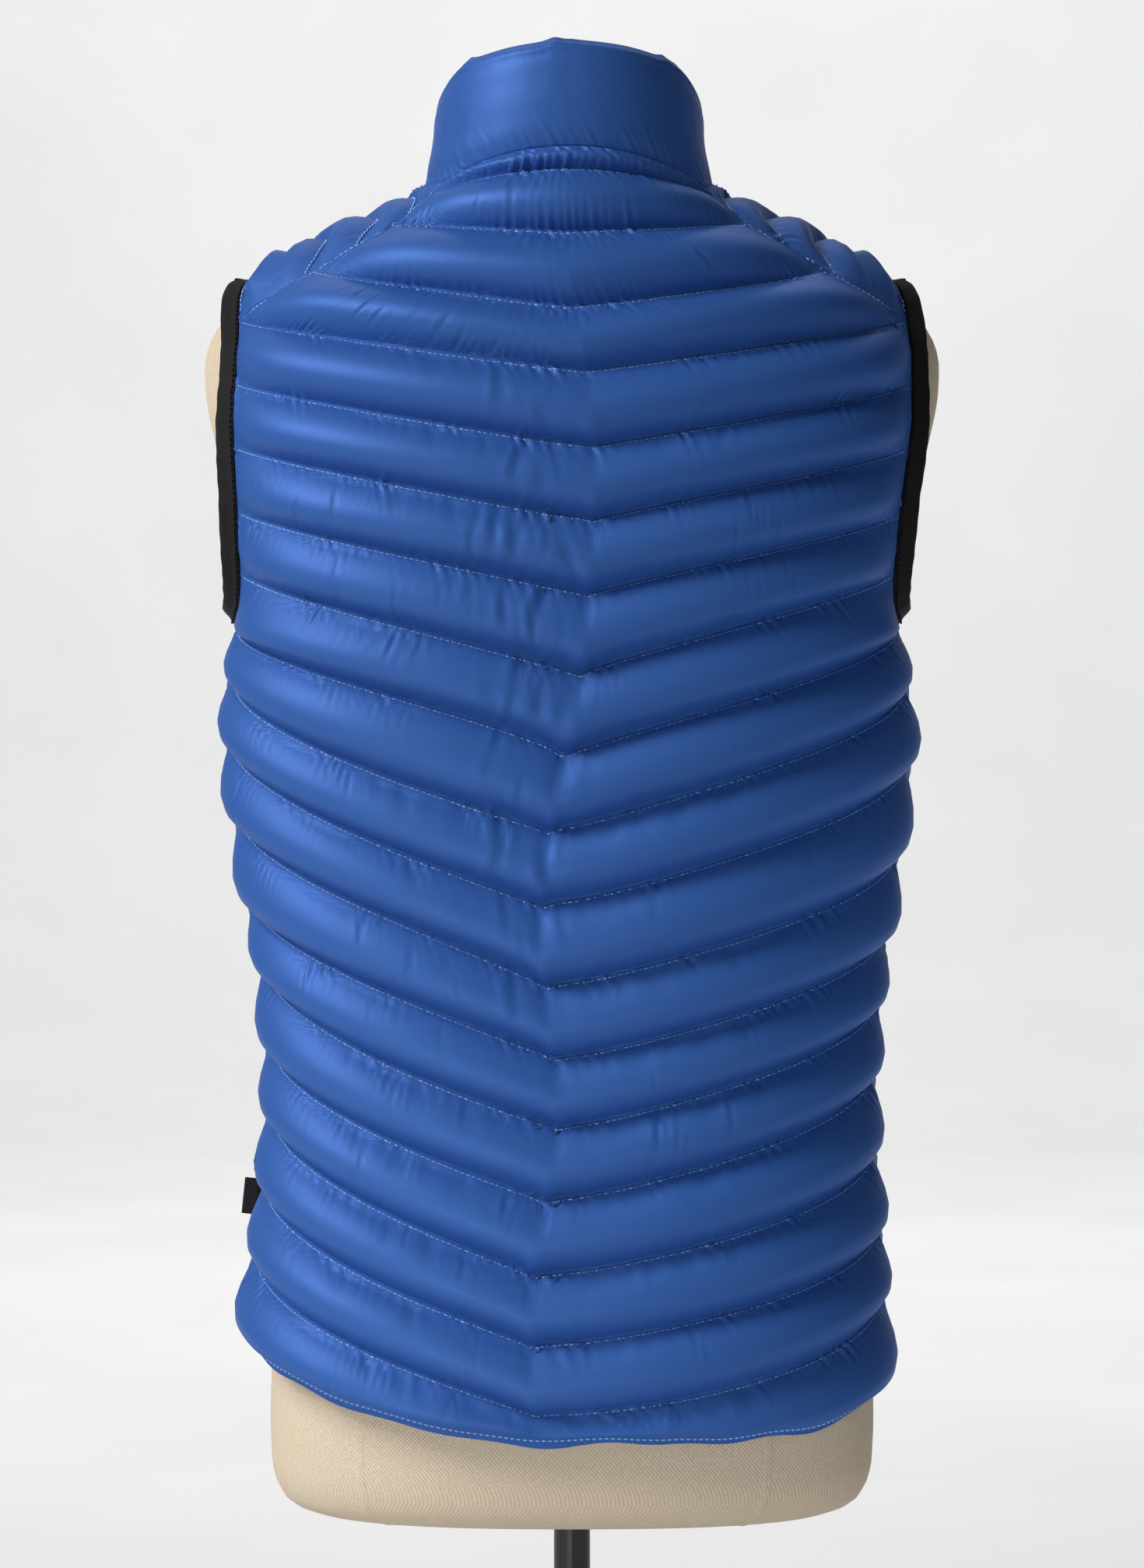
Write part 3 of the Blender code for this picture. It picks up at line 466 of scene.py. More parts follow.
def outward(angle, height):
    """The skin's unit normal, pointing away from the body."""
    turn, rise = 1e-3, 1e-4
    across = skin(angle + turn, height) - skin(angle - turn, height)
    up = skin(angle, height + rise) - skin(angle, height - rise)
    normal = np.cross(up, across)
    return normal / np.linalg.norm(normal, axis=-1, keepdims=True)


def angle_at(distance, height, side=0):
    """The angle at which the left or the right (side 1) of the skin is this far out."""
    half_width, square = vest_section(height)[side], vest_section(height)[4]
    share = np.clip(distance / half_width, 0, 1)
    return np.arcsin(share ** (square / 2))


def armhole(turn):
    """Angle and height on the left armhole. The turn runs from the top, positive in front."""
    reach = np.where(turn > 0, ARMHOLE_FRONT, -ARMHOLE_BACK)
    square = np.where(np.cos(turn) < 0, ARMHOLE_SQUARE, 1.0)
    angle = math.pi / 2 + reach * np.abs(np.sin(turn)) ** square
    return angle, ARMHOLE_MIDDLE + ARMHOLE_HALF * np.cos(turn)


def armhole_turn(height):
    """How far round the armhole this height lies from the top."""
    return np.arccos(np.clip((height - ARMHOLE_MIDDLE) / ARMHOLE_HALF, -1, 1))


def on_shoulder_seam(height):
    """Angle and height on the left shoulder seam."""
    return angle_at(shoulder_line(height)[0], height), height


def back_end(seam, side):
    """Angle and height where a row of the back ends: side seam, armhole, then shoulder seam."""
    under_arm, at_shoulder, _ = BACK_ENDS
    height = back_seam(seam)[side]
    if seam <= under_arm:
        return math.pi / 2, height
    if seam >= at_shoulder:
        return on_shoulder_seam(height)
    rows = range(under_arm, at_shoulder + 1)
    turns = [-armhole_turn(back_seam(row)[side]) for row in rows]
    return armhole(np.interp(seam, rows, turns))


def back_spot(column, seam):
    """Angle and height on the back. The column runs from -1 at the right to 1 at the left."""
    centre, _, _, left_power, right_power = back_seam(seam)
    left_angle, left_height = back_end(seam, 1)
    right_angle, right_height = back_end(seam, 2)
    on_left = column > 0
    share = np.abs(column)
    rise = share ** np.where(on_left, left_power, right_power)
    height = centre + (np.where(on_left, left_height, right_height) - centre) * rise
    point = chevron_point(seam)[0] / vest_section(height)[0]
    end_angle = np.where(on_left, left_angle, -right_angle)
    return point + (end_angle - point) * share, height


def front_end(seam, hem_side):
    """Angle and height where a row of the left front ends: side, armhole, then shoulder."""
    under_arm, at_shoulder, _ = FRONT_ENDS
    if seam <= under_arm:
        return math.pi / 2, hem_side + (UNDERARM - hem_side) * seam / under_arm
    if seam <= at_shoulder:
        turns = (math.pi, ARMHOLE_LAST_TURN, -armhole_turn(SHOULDER_LINE[0][0]))
        return armhole(np.interp(seam, (under_arm, at_shoulder - 1, at_shoulder), turns))
    distance = shoulder_end(seam)[0]
    heights = np.linspace(SHOULDER_LINE[0][0], SHOULDER_LINE[-1][0], 60)
    return on_shoulder_seam(np.interp(-distance, -shoulder_line(heights)[0], heights))


def front_spot(column, seam, side):
    """Angle and height on a front. The column runs from 0 at the zip to 1 at the side."""
    at_zip, bow, lift = front_seam(seam)
    end_angle, end_height = front_end(seam, BACK_SEAMS[0][2 + side])
    curve = lift * CREST_SCALE * column**CREST_POWER + 4 * bow * column
    height = at_zip + (end_height - at_zip) * column + curve * (1 - column)
    start = math.pi - angle_at(ZIP_HALF_GAP, at_zip, side)
    return start + (end_angle - start) * column, height


def front_left_spot(column, seam):
    """Angle and height on the left front."""
    return front_spot(column, seam, 0)


def front_right_spot(column, seam):
    """Angle and height on the right front."""
    angle, height = front_spot(column, seam, 1)
    return -angle, height


def unit(vectors):
    """The vectors at length 1."""
    return vectors / np.maximum(np.linalg.norm(vectors, axis=-1, keepdims=True), 1e-12)


def smooth_step(low, high, value):
    """From 0 at low to 1 at high, without corners."""
    share = np.clip((value - low) / (high - low), 0, 1)
    return share * share * (3 - 2 * share)


def run_length(points, axis):
    """How far each point lies along its row (axis 1) or its column (axis 0)."""
    steps = np.linalg.norm(np.diff(points, axis=axis), axis=-1)
    start = np.zeros_like(np.take(steps, [0], axis=axis))
    return np.concatenate([start, np.cumsum(steps, axis=axis)], axis=axis)


def line_length(line):
    """How far each point lies along one line."""
    return run_length(line[:, None], 0)[:, 0]


def on_line(at, along, line):
    """The points, or the normals, at these distances along a line."""
    return np.stack([np.interp(at, along, line[:, k]) for k in range(3)], axis=-1)


def from_sides(points):
    """How far each point lies from the nearer side of its panel."""
    along = run_length(points, 1)
    return np.minimum(along, along[:, -1:] - along)


def from_seams(shares, widths):
    """How far each point lies from the nearer seam of its channel."""
    return np.minimum(shares, 1 - shares)[:, None] * widths


def bell(distance, reach):
    """From 1 at no distance down to nothing, on a bell curve."""
    return np.exp(-((distance / reach) ** 2))


def waves(along, lengths, seed):
    """A wavy line of several wave lengths, from about -1 to 1, the same at each run."""
    made = np.random.default_rng(seed)
    total = np.zeros_like(along)
    for length in lengths:
        drift = DRIFT * np.sin(along * TURN / (length * DRIFT_LENGTH) + made.uniform(0, ANY_PHASE))
        total += np.sin(along * TURN / length + made.uniform(0, ANY_PHASE) + drift)
    return total / math.sqrt(len(lengths))


def stretches(along, lengths, seed, strength):
    """Stretches where something is stronger or weaker: usual, spread, least and most."""
    usual, spread, least, most = strength
    return np.clip(usual + spread * waves(along, lengths, seed), least, most)


def grid_normals(points):
    """Unit normals of a grid, by its rows and columns."""
    across = np.gradient(points, axis=1)
    up = np.gradient(points, axis=0)
    return unit(np.cross(across, up))


def edge_inward(points, normal, within):
    """At each point of an edge, the way into the panel, square to the edge and on its skin."""
    across = unit(np.cross(normal, np.gradient(points, axis=0)))
    return across * np.sign(np.sum(across * (within - points), axis=-1).mean())


def panel_ground(spot, columns, top, rows):
    """The plain skin of a panel: its points, its normals and the shares of the channels."""
    seams = np.array([k + share for k in range(top) for share in rows] + [float(top)])
    shares = np.array(list(rows) * top + [0.0])
    places = [spot(columns, seam) for seam in seams]
    angle = np.array([place[0] for place in places])
    height = np.array([np.broadcast_to(place[1], angle[0].shape) for place in places])
    base, normal = skin(angle, height), outward(angle, height)
    for edge, beside in ((0, 1), (-1, -2)):
        inward = edge_inward(base[:, edge], normal[:, edge], base[:, beside])
        base[:, edge] += inward * SEAM_GAP / 2
    return base, normal, shares


def channel_widths(base, count):
    """The width of each row's channel at each column, with this many rows a channel."""
    widths = np.linalg.norm(np.diff(base[::count], axis=0), axis=-1)
    rows = np.repeat(widths, count, axis=0)
    return np.concatenate([rows, rows[-1:]])


def side_taper(base):
    """How much of the puff is left near the panel's two sewn sides."""
    filled = 1 - np.exp(-((from_sides(base) / EDGE_ROLL) ** EDGE_POWER))
    return EDGE_LIFT + (1 - EDGE_LIFT) * filled


def puffed(base, normal, shares, widths, puff, droop):
    """The raised channels: fullest a little below their middle, and rounder above it."""
    under = np.sin(math.pi / 2 * np.clip(shares / FULLEST, 0, 1))
    over = np.sin(math.pi / 2 * np.clip((1 - shares) / (1 - FULLEST), 0, 1)) ** UPPER_POWER
    rise = np.where(shares < FULLEST, under, over)
    rise = np.where(shares == 0, 0.0, rise)[:, None] * np.ones_like(widths)
    full = np.clip((widths / USUAL_CHANNEL) ** WIDTH_POWER, *FULL_RANGE)
    lift = (rise * full * puff * side_taper(base))[..., None]
    down = normal * normal[..., 2:] - (0.0, 0.0, 1.0)
    return base + normal * lift + down * lift * droop


def flat_hem(outer, base, normal, shares, widths):
    """Presses the hem's turning flat, and gives the line of its stitches with their normals."""
    rows = len(FINE_ROWS)
    low, high = (HEM_STRIP * share for share in HEM_FADE)
    lift = np.sum((outer[:rows] - base[:rows]) * normal[:rows], axis=-1)
    kept = smooth_step(low, high, shares[:rows, None] * widths[:rows])
    kept = HEM_KEPT + (1 - HEM_KEPT) * kept
    outer[:rows] -= normal[:rows] * (lift * (1 - kept))[..., None]
    share = np.clip(HEM_STRIP / widths[0], 0, 0.9)
    line = [on_line(share[c], FINE_ROWS, outer[:rows, c]) for c in range(outer.shape[1])]
    return np.array(line) + normal[0] * THREAD_LIFT, normal[0]


def grid_faces(rows, columns):
    """A grid's point numbers, and its faces."""
    index = np.arange(rows * columns).reshape(rows, columns)
    faces = np.stack([index[:-1, :-1], index[:-1, 1:], index[1:, 1:], index[1:, :-1]], axis=-1)
    return index, faces.reshape(-1, 4).tolist()


def relax_cloth(points, sewn_rows, growth, pressure, limit):
    """Lets the cloth between its sewn points grow and fill, and reads back where it lies."""
    held = np.zeros(points.shape[:2], bool)
    held[sewn_rows] = True
    held[:, [0, -1]] = True
    index, quads = grid_faces(*points.shape[:2])
    mesh = bpy.data.meshes.new("cloth_at_rest")
    mesh.from_pydata(points.reshape(-1, 3), [], quads)
    cloth = bpy.data.objects.new("cloth_at_rest", mesh)
    bpy.context.scene.collection.objects.link(cloth)
    pins = cloth.vertex_groups.new(name="sewn")
    pins.add(index[held].tolist(), 1.0, "REPLACE")
    modifier = cloth.modifiers.new("cloth", "CLOTH")
    settings = modifier.settings
    settings.quality = 5
    settings.mass = 0.3
    settings.bending_stiffness = 0.3
    settings.vertex_group_mass = "sewn"
    settings.shrink_min = -growth
    settings.use_pressure = True
    settings.uniform_pressure_force = pressure
    settings.effector_weights.gravity = 0.0
    modifier.collision_settings.use_collision = False
    for frame_number in range(1, bpy.context.scene.vest_cloth.frames + 1):
        bpy.context.scene.frame_set(frame_number)
    depsgraph = bpy.context.evaluated_depsgraph_get()
    result = cloth.evaluated_get(depsgraph)
    moved = np.empty(points.size)
    result.to_mesh().vertices.foreach_get("co", moved)
    result.to_mesh_clear()
    bpy.data.objects.remove(cloth)
    bpy.data.meshes.remove(mesh)
    bpy.context.scene.frame_set(1)
    shift = moved.reshape(points.shape) - points
    size = np.linalg.norm(shift, axis=-1, keepdims=True)
    if not np.isfinite(size).all():
        raise RuntimeError("the cloth's simulation did not settle")
    return points + shift * np.minimum(1, limit / np.maximum(size, 1e-9))


def between_rows(grid, at, wanted):
    """Rows of a grid at other places, on smooth curves through the given ones."""
    flat = grid.reshape(len(grid), -1)
    made = smooth_columns(np.column_stack([at, flat]))(np.array(wanted))
    return made.T.reshape(len(wanted), *grid.shape[1:])


def finer_rows(points, rows, top):
    """Rows of a channel at other shares, on curves that break at the seams."""
    count, keys = len(CLOTH_ROWS), np.array(CLOTH_ROWS + (1.0,))
    channels = [points[k * count : (k + 1) * count + 1] for k in range(top)]
    made = [between_rows(channel, keys, rows) for channel in channels]
    return np.concatenate([*made, points[-1:]])


def finer_columns(points, columns, finer):
    """The same rows at more columns."""
    return between_rows(points.transpose(1, 0, 2), columns, finer).transpose(1, 0, 2)


def gather(points, normals, shares, widths, depth, seed):
    """Small gathers on both sides of each seam, deeper in some stretches than in others."""
    along = run_length(points, 1)
    row = len(FINE_ROWS)
    moved = points.copy()
    for k in range(math.ceil(len(points) / row) + 1):
        low, high = max(k * row - row + 1, 0), min(k * row + row, len(points))
        if low >= high:
            continue
        near = slice(low, high)
        below = (np.arange(low, high) // row < k)[:, None]
        share = np.where(below, 1 - shares[near][:, None], shares[near][:, None])
        from_seam = share * widths[near]
        reach = np.where(below, *GATHER_REACH)
        fade = np.exp(-from_seam / reach) * (1 - np.exp(-from_seam / GATHER_START))
        strength = stretches(along[near], GATHER_PATCHES, seed + 7 * k, GATHER_STRENGTH)
        strength = strength + PINCH_RISE * bell(points[near][..., 0] - PINCH_PLACE, PINCH_REACH)
        size = depth * strength * fade * waves(along[near], GATHER_WAVES, seed + 7 * k + 1)
        welt = stretches(along[near], WELT_PATCHES, seed + 5 * k + 3, WELT_STRENGTH)
        fold = bell(from_seam - FOLD_PLACE, FOLD_REACH) * FOLD_RISE
        groove = bell(from_seam - GROOVE_PLACE, GROOVE_REACH) * GROOVE_DEPTH
        size += np.where(below, welt * (fold - groove), 0.0)
        moved[near] += normals[near] * size[..., None]
    return moved


def edge_gather(points, normals, depth, seed):
    """Small gathers at a panel's two sewn sides, deepest a little way in."""
    run, inside = run_length(points, 0), from_sides(points)
    fade = np.exp(-inside / EDGE_REACH) * (1 - np.exp(-inside / EDGE_START))
    size = np.zeros(inside.shape)
    middle = points.shape[1] // 2
    for k, half in enumerate((slice(0, middle), slice(middle, None))):
        strength = stretches(run[:, half], EDGE_PATCHES, seed + k + 9, EDGE_STRENGTH)
        size[:, half] = depth * waves(run[:, half], EDGE_WAVES, seed + k) * strength
    return points + normals * (size * fade)[..., None]


def shoulder_seam(points, normals, shares, widths, channel):
    """One more sewn line, half way up a front's channel, from the shoulder seam forwards."""
    rows = slice(channel * len(FINE_ROWS), (channel + 1) * len(FINE_ROWS))
    along = run_length(points, 1)[rows]
    valley = bell((shares[rows, None] - 0.5) * widths[rows], VALLEY_REACH)
    fade = 1 - smooth_step(*VALLEY_FADE, along[:, -1:] - along)
    points[rows] -= normals[rows] * (VALLEY_DEPTH * valley * fade)[..., None]


def wavy_hem(points, base, shares, seed):
    """Lets the hem's free edge rise and fall a little; the first seam stays."""
    rows = len(FINE_ROWS)
    wave = HEM_WAVE * waves(run_length(base, 1)[0], HEM_WAVES, seed)
    fall = (1 - shares[:rows, None]) ** 2 * wave
    for grid in (points, base):
        grid[:rows, :, 2] += fall


def wall_faces(outer, step):
    """A closed wall: a fine outer grid, rims, and an inner grid that keeps every few points."""
    rows, columns = outer.shape[:2]
    index, faces = grid_faces(rows, columns)
    under = index + rows * columns
    loop = np.concatenate([index[0], index[1:, -1], index[-1, -2::-1], index[-2:0:-1, 0]])
    below = loop + rows * columns
    rim = np.stack([np.roll(loop, -1), loop, below, np.roll(below, -1)], axis=-1)
    faces += rim.tolist()
    kept_rows = sorted({*range(0, rows, step), rows - 1})
    kept_columns = sorted({*range(0, columns, step), columns - 1})
    for r, r_on in zip(kept_rows[:-1], kept_rows[1:]):
        for c, c_on in zip(kept_columns[:-1], kept_columns[1:]):
            left = under[r : r_on + 1, 0] if c == 0 else under[[r, r_on], c]
            right = under[r : r_on + 1, -1] if c_on == columns - 1 else under[[r, r_on], c_on]
            low = under[0, c + 1 : c_on] if r == 0 else ()
            high = under[-1, c + 1 : c_on] if r_on == rows - 1 else ()
            faces.append([*left, *high, *right[::-1], *list(low)[::-1]])
    return faces


def mesh_from(name, points, faces):
    """A smooth mesh of the points that its faces use."""
    used = np.unique(np.concatenate([np.asarray(face) for face in faces]))
    at = np.full(len(points), -1)
    at[used] = np.arange(len(used))
    mesh = bpy.data.meshes.new(name)
    mesh.from_pydata(points[used], [], [[int(at[p]) for p in face] for face in faces])
    mesh.shade_smooth()
    return mesh, used


def add_piece(name, mesh, material):
    """Puts a mesh in the scene as a piece of the object."""
    piece = bpy.data.objects.new(name, mesh)
    bpy.context.scene.collection.objects.link(piece)
    mesh.materials.append(material)
    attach(piece, BODY)
    return piece


def add_values(mesh, name, kind, values):
    """A named value at each point of the mesh."""
    attribute = mesh.attributes.new(name, kind, "POINT")
    attribute.data.foreach_set("vector" if kind == "FLOAT_VECTOR" else "value", values.ravel())


def padded_piece(name, node, outer, inner, shares, widths, step):
    """A padded cloth piece from its outer and inner grids, in place of a solid."""
    points = np.concatenate([outer.reshape(-1, 3), inner.reshape(-1, 3)])
    mesh, used = mesh_from(name, points, wall_faces(outer, step))
    along, up = run_length(outer, 1), run_length(outer, 0)
    place = np.stack([along, up, np.zeros_like(up)], axis=-1).reshape(-1, 3)
    add_values(mesh, "cloth_place", "FLOAT_VECTOR", np.concatenate([place, place])[used])
    near = np.exp(-from_seams(shares, widths) / NEAR_SEAM).ravel()
    add_values(mesh, "seam_near", "FLOAT", np.concatenate([near, near])[used])
    piece = add_piece(name, mesh, shell())
    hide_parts(node)


def crease(points, normals, seed):
    """Soft upright creases beside the centre of the upper back."""
    made = np.random.default_rng(seed)
    low, high = CREASE_HEIGHTS
    height = points[..., 2] - FORM_BASE
    window = smooth_step(low - CREASE_FADE, low + CREASE_FADE, height)
    window *= 1 - smooth_step(high - CREASE_FADE, high + CREASE_FADE, height)
    moved = points.copy()
    for k in range(CREASES):
        wander = CREASE_WANDER * waves(height, CREASE_WAVES, seed + 3 * k)
        aside = points[..., 0] - made.uniform(*CREASE_PLACES) - wander
        width = made.uniform(*CREASE_WIDTHS)
        patches = stretches(height, CREASE_PATCHES, seed + k, CREASE_STRENGTH)
        depth = CREASE_DEPTH * made.uniform(0.6, 1.2) * patches
        shape = 0.7 * bell(aside - 1.9 * width, width) - bell(aside, width)
        moved += normals * (window * depth * shape)[..., None]
    return moved


def stray_creases(points, normals, count, seed):
    """Single short creases, each a curved line that fades out at both ends."""
    made = np.random.default_rng(seed)
    along, up = run_length(points, 1), points[..., 2]
    moved = points.copy()
    for _ in range(count):
        row, column = made.integers(0, len(points)), made.integers(6, points.shape[1] - 6)
        lean, bend = made.uniform(-STRAY_LEAN, STRAY_LEAN), made.uniform(-STRAY_BEND, STRAY_BEND)
        length, width = made.uniform(*STRAY_LENGTHS), made.uniform(*STRAY_WIDTHS)
        rise = up - up[row, column]
        aside = along - along[row, column] - lean * rise - bend * rise**2
        near = bell(rise, length) * (np.abs(aside) < STRAY_REACH)
        groove = bell(aside, width) - 0.6 * bell(aside - 2 * width, width)
        moved -= normals * (made.uniform(*STRAY_DEPTHS) * near * groove)[..., None]
    return moved


def quilted_piece(name, node, spot, top, columns, options):
    """One quilted panel: its grid, its cloth at rest, its gathers and its closed wall.

    The options hold its puff, its seed and its number of stray creases. They may add upright
    creases (their seed), a split channel (its number) and sewn edges (from this row up).
    """
    settings = bpy.context.scene.vest_cloth
    seed, depth, row = options["seed"], settings.gather_depth, len(FINE_ROWS)
    base, normal, shares = panel_ground(spot, columns, top, CLOTH_ROWS)
    widths = channel_widths(base, len(CLOTH_ROWS))
    rested = puffed(base, normal, shares, widths, options["puff"], settings.droop)
    force, limit = settings.pressure, settings.largest_move
    settled = relax_cloth(rested, shares == 0, settings.growth, force, limit)
    away = smooth_step(*MIDDLE_FADE, from_seams(shares, widths))
    rested += (settled - rested) * (1 - (1 - MIDDLE_SHARE) * away)[..., None]
    count = (len(columns) - 1) * FINER_TIMES + 1
    finer = np.interp(np.arange(count) / FINER_TIMES, range(len(columns)), columns)
    outer = finer_rows(finer_columns(rested, columns, finer), FINE_ROWS, top)
    base, normal, shares = panel_ground(spot, finer, top, FINE_ROWS)
    outer[:, [0, -1]] = (base + normal * SEWN_RISE)[:, [0, -1]]
    widths = channel_widths(base, row)
    outer = gather(outer, normal, shares, widths, depth, seed)
    if "creases" in options:
        outer = crease(outer, normal, options["creases"])
    outer = edge_gather(outer, normal, depth, seed + 70)
    outer = stray_creases(outer, normal, options["strays"], seed)
    if "split" in options:
        shoulder_seam(outer, normal, shares, widths, options["split"])
    wavy_hem(outer, base, shares, seed + 40)
    hem_line = flat_hem(outer, base, normal, shares, widths)
    least = np.sum((outer - base) * normal, axis=-1)
    outer += normal * np.maximum(LEAST_RISE - least, 0)[..., None]
    padded_piece(name, node, outer, base - normal * CLOTH_WALL, shares, widths, row)
    facing = grid_normals(outer)
    SEWN_LINES[name] = [hem_line]
    for seam in range(row, len(outer) - 1, row):
        line = 0.4 * outer[seam - 1] + 0.6 * outer[seam - 2]
        SEWN_LINES[name].append((line, unit(facing[seam - 1] + facing[seam - 2])))
    if "sewn_edge" in options:
        first = options["sewn_edge"] * row
        for column in (2, -3):
            SEWN_LINES[name].append((outer[first:, column], facing[first:, column]))


SEWN_LINES = {}


def new_material(name):
    """An empty material, with its tree and its shader."""
    material = bpy.data.materials.new(name)
    material.use_nodes = True
    tree = material.node_tree
    return material, tree, tree.nodes["Principled BSDF"]


def add_node(tree, kind, place, **values):
    """A node at a place, with these settings."""
    node = tree.nodes.new(kind)
    node.location = place
    for name, value in values.items():
        setattr(node, name, value)
    return node


def new_group(name, inputs, outputs):
    """A shader node group with named sockets."""
    group = bpy.data.node_groups.new(name, "ShaderNodeTree")
    for label, kind, value in inputs:
        socket = group.interface.new_socket(name=label, in_out="INPUT", socket_type=kind)
        if value is not None:
            socket.default_value = value
    for label, kind in outputs:
        group.interface.new_socket(name=label, in_out="OUTPUT", socket_type=kind)
    start = add_node(group, "NodeGroupInput", (-900, 0))
    end = add_node(group, "NodeGroupOutput", (600, 0))
    return group, start, end


def math_node(tree, place, operation, *values):
    """A Math node with linked or plain inputs."""
    node = add_node(tree, "ShaderNodeMath", place, operation=operation)
    for socket, value in zip(node.inputs, values):
        if isinstance(value, (int, float)):
            socket.default_value = value
        else:
            tree.links.new(value, socket)
    return node.outputs["Value"]


def weave_group():
    """Plain weave: two sets of threads that pass over and under each other."""
    made = bpy.data.node_groups.get("plain_weave")
    if made:
        return made
    inputs = (
        ("Place", "NodeSocketVector", None),
        ("Thread Pitch", "NodeSocketFloat", 0.0005),
        ("Unevenness", "NodeSocketFloat", 0.2),
    )
    group, start, end = new_group("plain_weave", inputs, (("Height", "NodeSocketFloat"),))
    pitch, unevenness = start.outputs["Thread Pitch"], start.outputs["Unevenness"]
    noise = add_node(group, "ShaderNodeTexNoise", (-900, -300))
    noise.inputs["Scale"].default_value = 260.0
    group.links.new(start.outputs["Place"], noise.inputs["Vector"])
    parts = add_node(group, "ShaderNodeSeparateXYZ", (-700, 0))
    group.links.new(start.outputs["Place"], parts.inputs["Vector"])
    wobble = math_node(group, (-500, -300), "MULTIPLY", noise.outputs["Fac"], unevenness)
    threads = []
    for axis, level in (("X", 200), ("Y", 0)):
        count = math_node(group, (-500, level), "DIVIDE", parts.outputs[axis], pitch)
        count = math_node(group, (-350, level), "ADD", count, wobble)
        turn = math_node(group, (-280, level + 60), "MULTIPLY", count, math.pi)
        threads.append(math_node(group, (-200, level), "SINE", turn))
    both = math_node(group, (0, 100), "MULTIPLY", *threads)
    height = math_node(group, (150, 100), "MULTIPLY_ADD", both, 0.5, 0.5)
    group.links.new(height, end.inputs["Height"])
    return group


def mottle_group():
    """Soft uneven patches between two colours, with a value for the roughness."""
    made = bpy.data.node_groups.get("soft_mottle")
    if made:
        return made
    inputs = (
        ("Place", "NodeSocketVector", None),
        ("Patches per Metre", "NodeSocketFloat", 20.0),
        ("Colour", "NodeSocketColor", (0.5, 0.5, 0.5, 1)),
        ("Second Colour", "NodeSocketColor", (0.4, 0.4, 0.4, 1)),
        ("Least", "NodeSocketFloat", 0.4),
        ("Most", "NodeSocketFloat", 0.5),
    )
    outputs = (("Colour", "NodeSocketColor"), ("Value", "NodeSocketFloat"))
    group, start, end = new_group("soft_mottle", inputs, outputs)
    noise = add_node(group, "ShaderNodeTexNoise", (-600, 0))
    noise.inputs["Detail"].default_value = 4.0
    blend = add_node(group, "ShaderNodeMix", (-200, 100), data_type="RGBA")
    spread = add_node(group, "ShaderNodeMapRange", (-200, -200))
    for output, socket in (
        (start.outputs["Place"], noise.inputs["Vector"]),
        (start.outputs["Patches per Metre"], noise.inputs["Scale"]),
        (noise.outputs["Fac"], blend.inputs["Factor"]),
        (start.outputs["Colour"], blend.inputs[FIRST_MIX_COLOUR]),
        (start.outputs["Second Colour"], blend.inputs[SECOND_MIX_COLOUR]),
        (noise.outputs["Fac"], spread.inputs["Value"]),
        (start.outputs["Least"], spread.inputs["To Min"]),
        (start.outputs["Most"], spread.inputs["To Max"]),
        (blend.outputs[MIXED_COLOUR], end.inputs["Colour"]),
        (spread.outputs["Result"], end.inputs["Value"]),
    ):
        group.links.new(output, socket)
    return group


def place_group(tree, kind, place, **values):
    """A group node with its sockets set or linked."""
    node = add_node(tree, "ShaderNodeGroup", place, node_tree=kind)
    for name, value in values.items():
        socket = node.inputs[name.replace("_", " ")]
        if isinstance(value, bpy.types.NodeSocket):
            tree.links.new(value, socket)
        else:
            socket.default_value = value
    return node


def shade(colour, share=1.0):
    """A colour with full alpha, in a darker or a lighter tone."""
    return (*[channel * share for channel in colour], 1.0)


def add_mottle(tree, surface, place, colour, second_share, limits, spots):
    """Soft patches in a material: they feed its roughness, and their colour is given back."""
    mottle = place_group(
        tree, mottle_group(), (-600, 200), Place=place, Patches_per_Metre=spots,
        Colour=shade(colour), Second_Colour=shade(colour, second_share),
        Least=limits[0], Most=limits[1],
    )
    tree.links.new(mottle.outputs["Value"], surface.inputs["Roughness"])
    return mottle.outputs["Colour"]


def add_weave(tree, place, pitch, unevenness):
    """The height of woven threads in a material."""
    words = {"Place": place, "Thread_Pitch": pitch, "Unevenness": unevenness}
    return place_group(tree, weave_group(), (-600, -100), **words).outputs["Height"]


def add_bump(tree, level, strength, distance, height):
    """A Bump node at this level of the tree."""
    bump = add_node(tree, "ShaderNodeBump", (-250, level))
    bump.inputs["Strength"].default_value = strength
    bump.inputs["Distance"].default_value = distance
    tree.links.new(height, bump.inputs["Height"])
    return bump


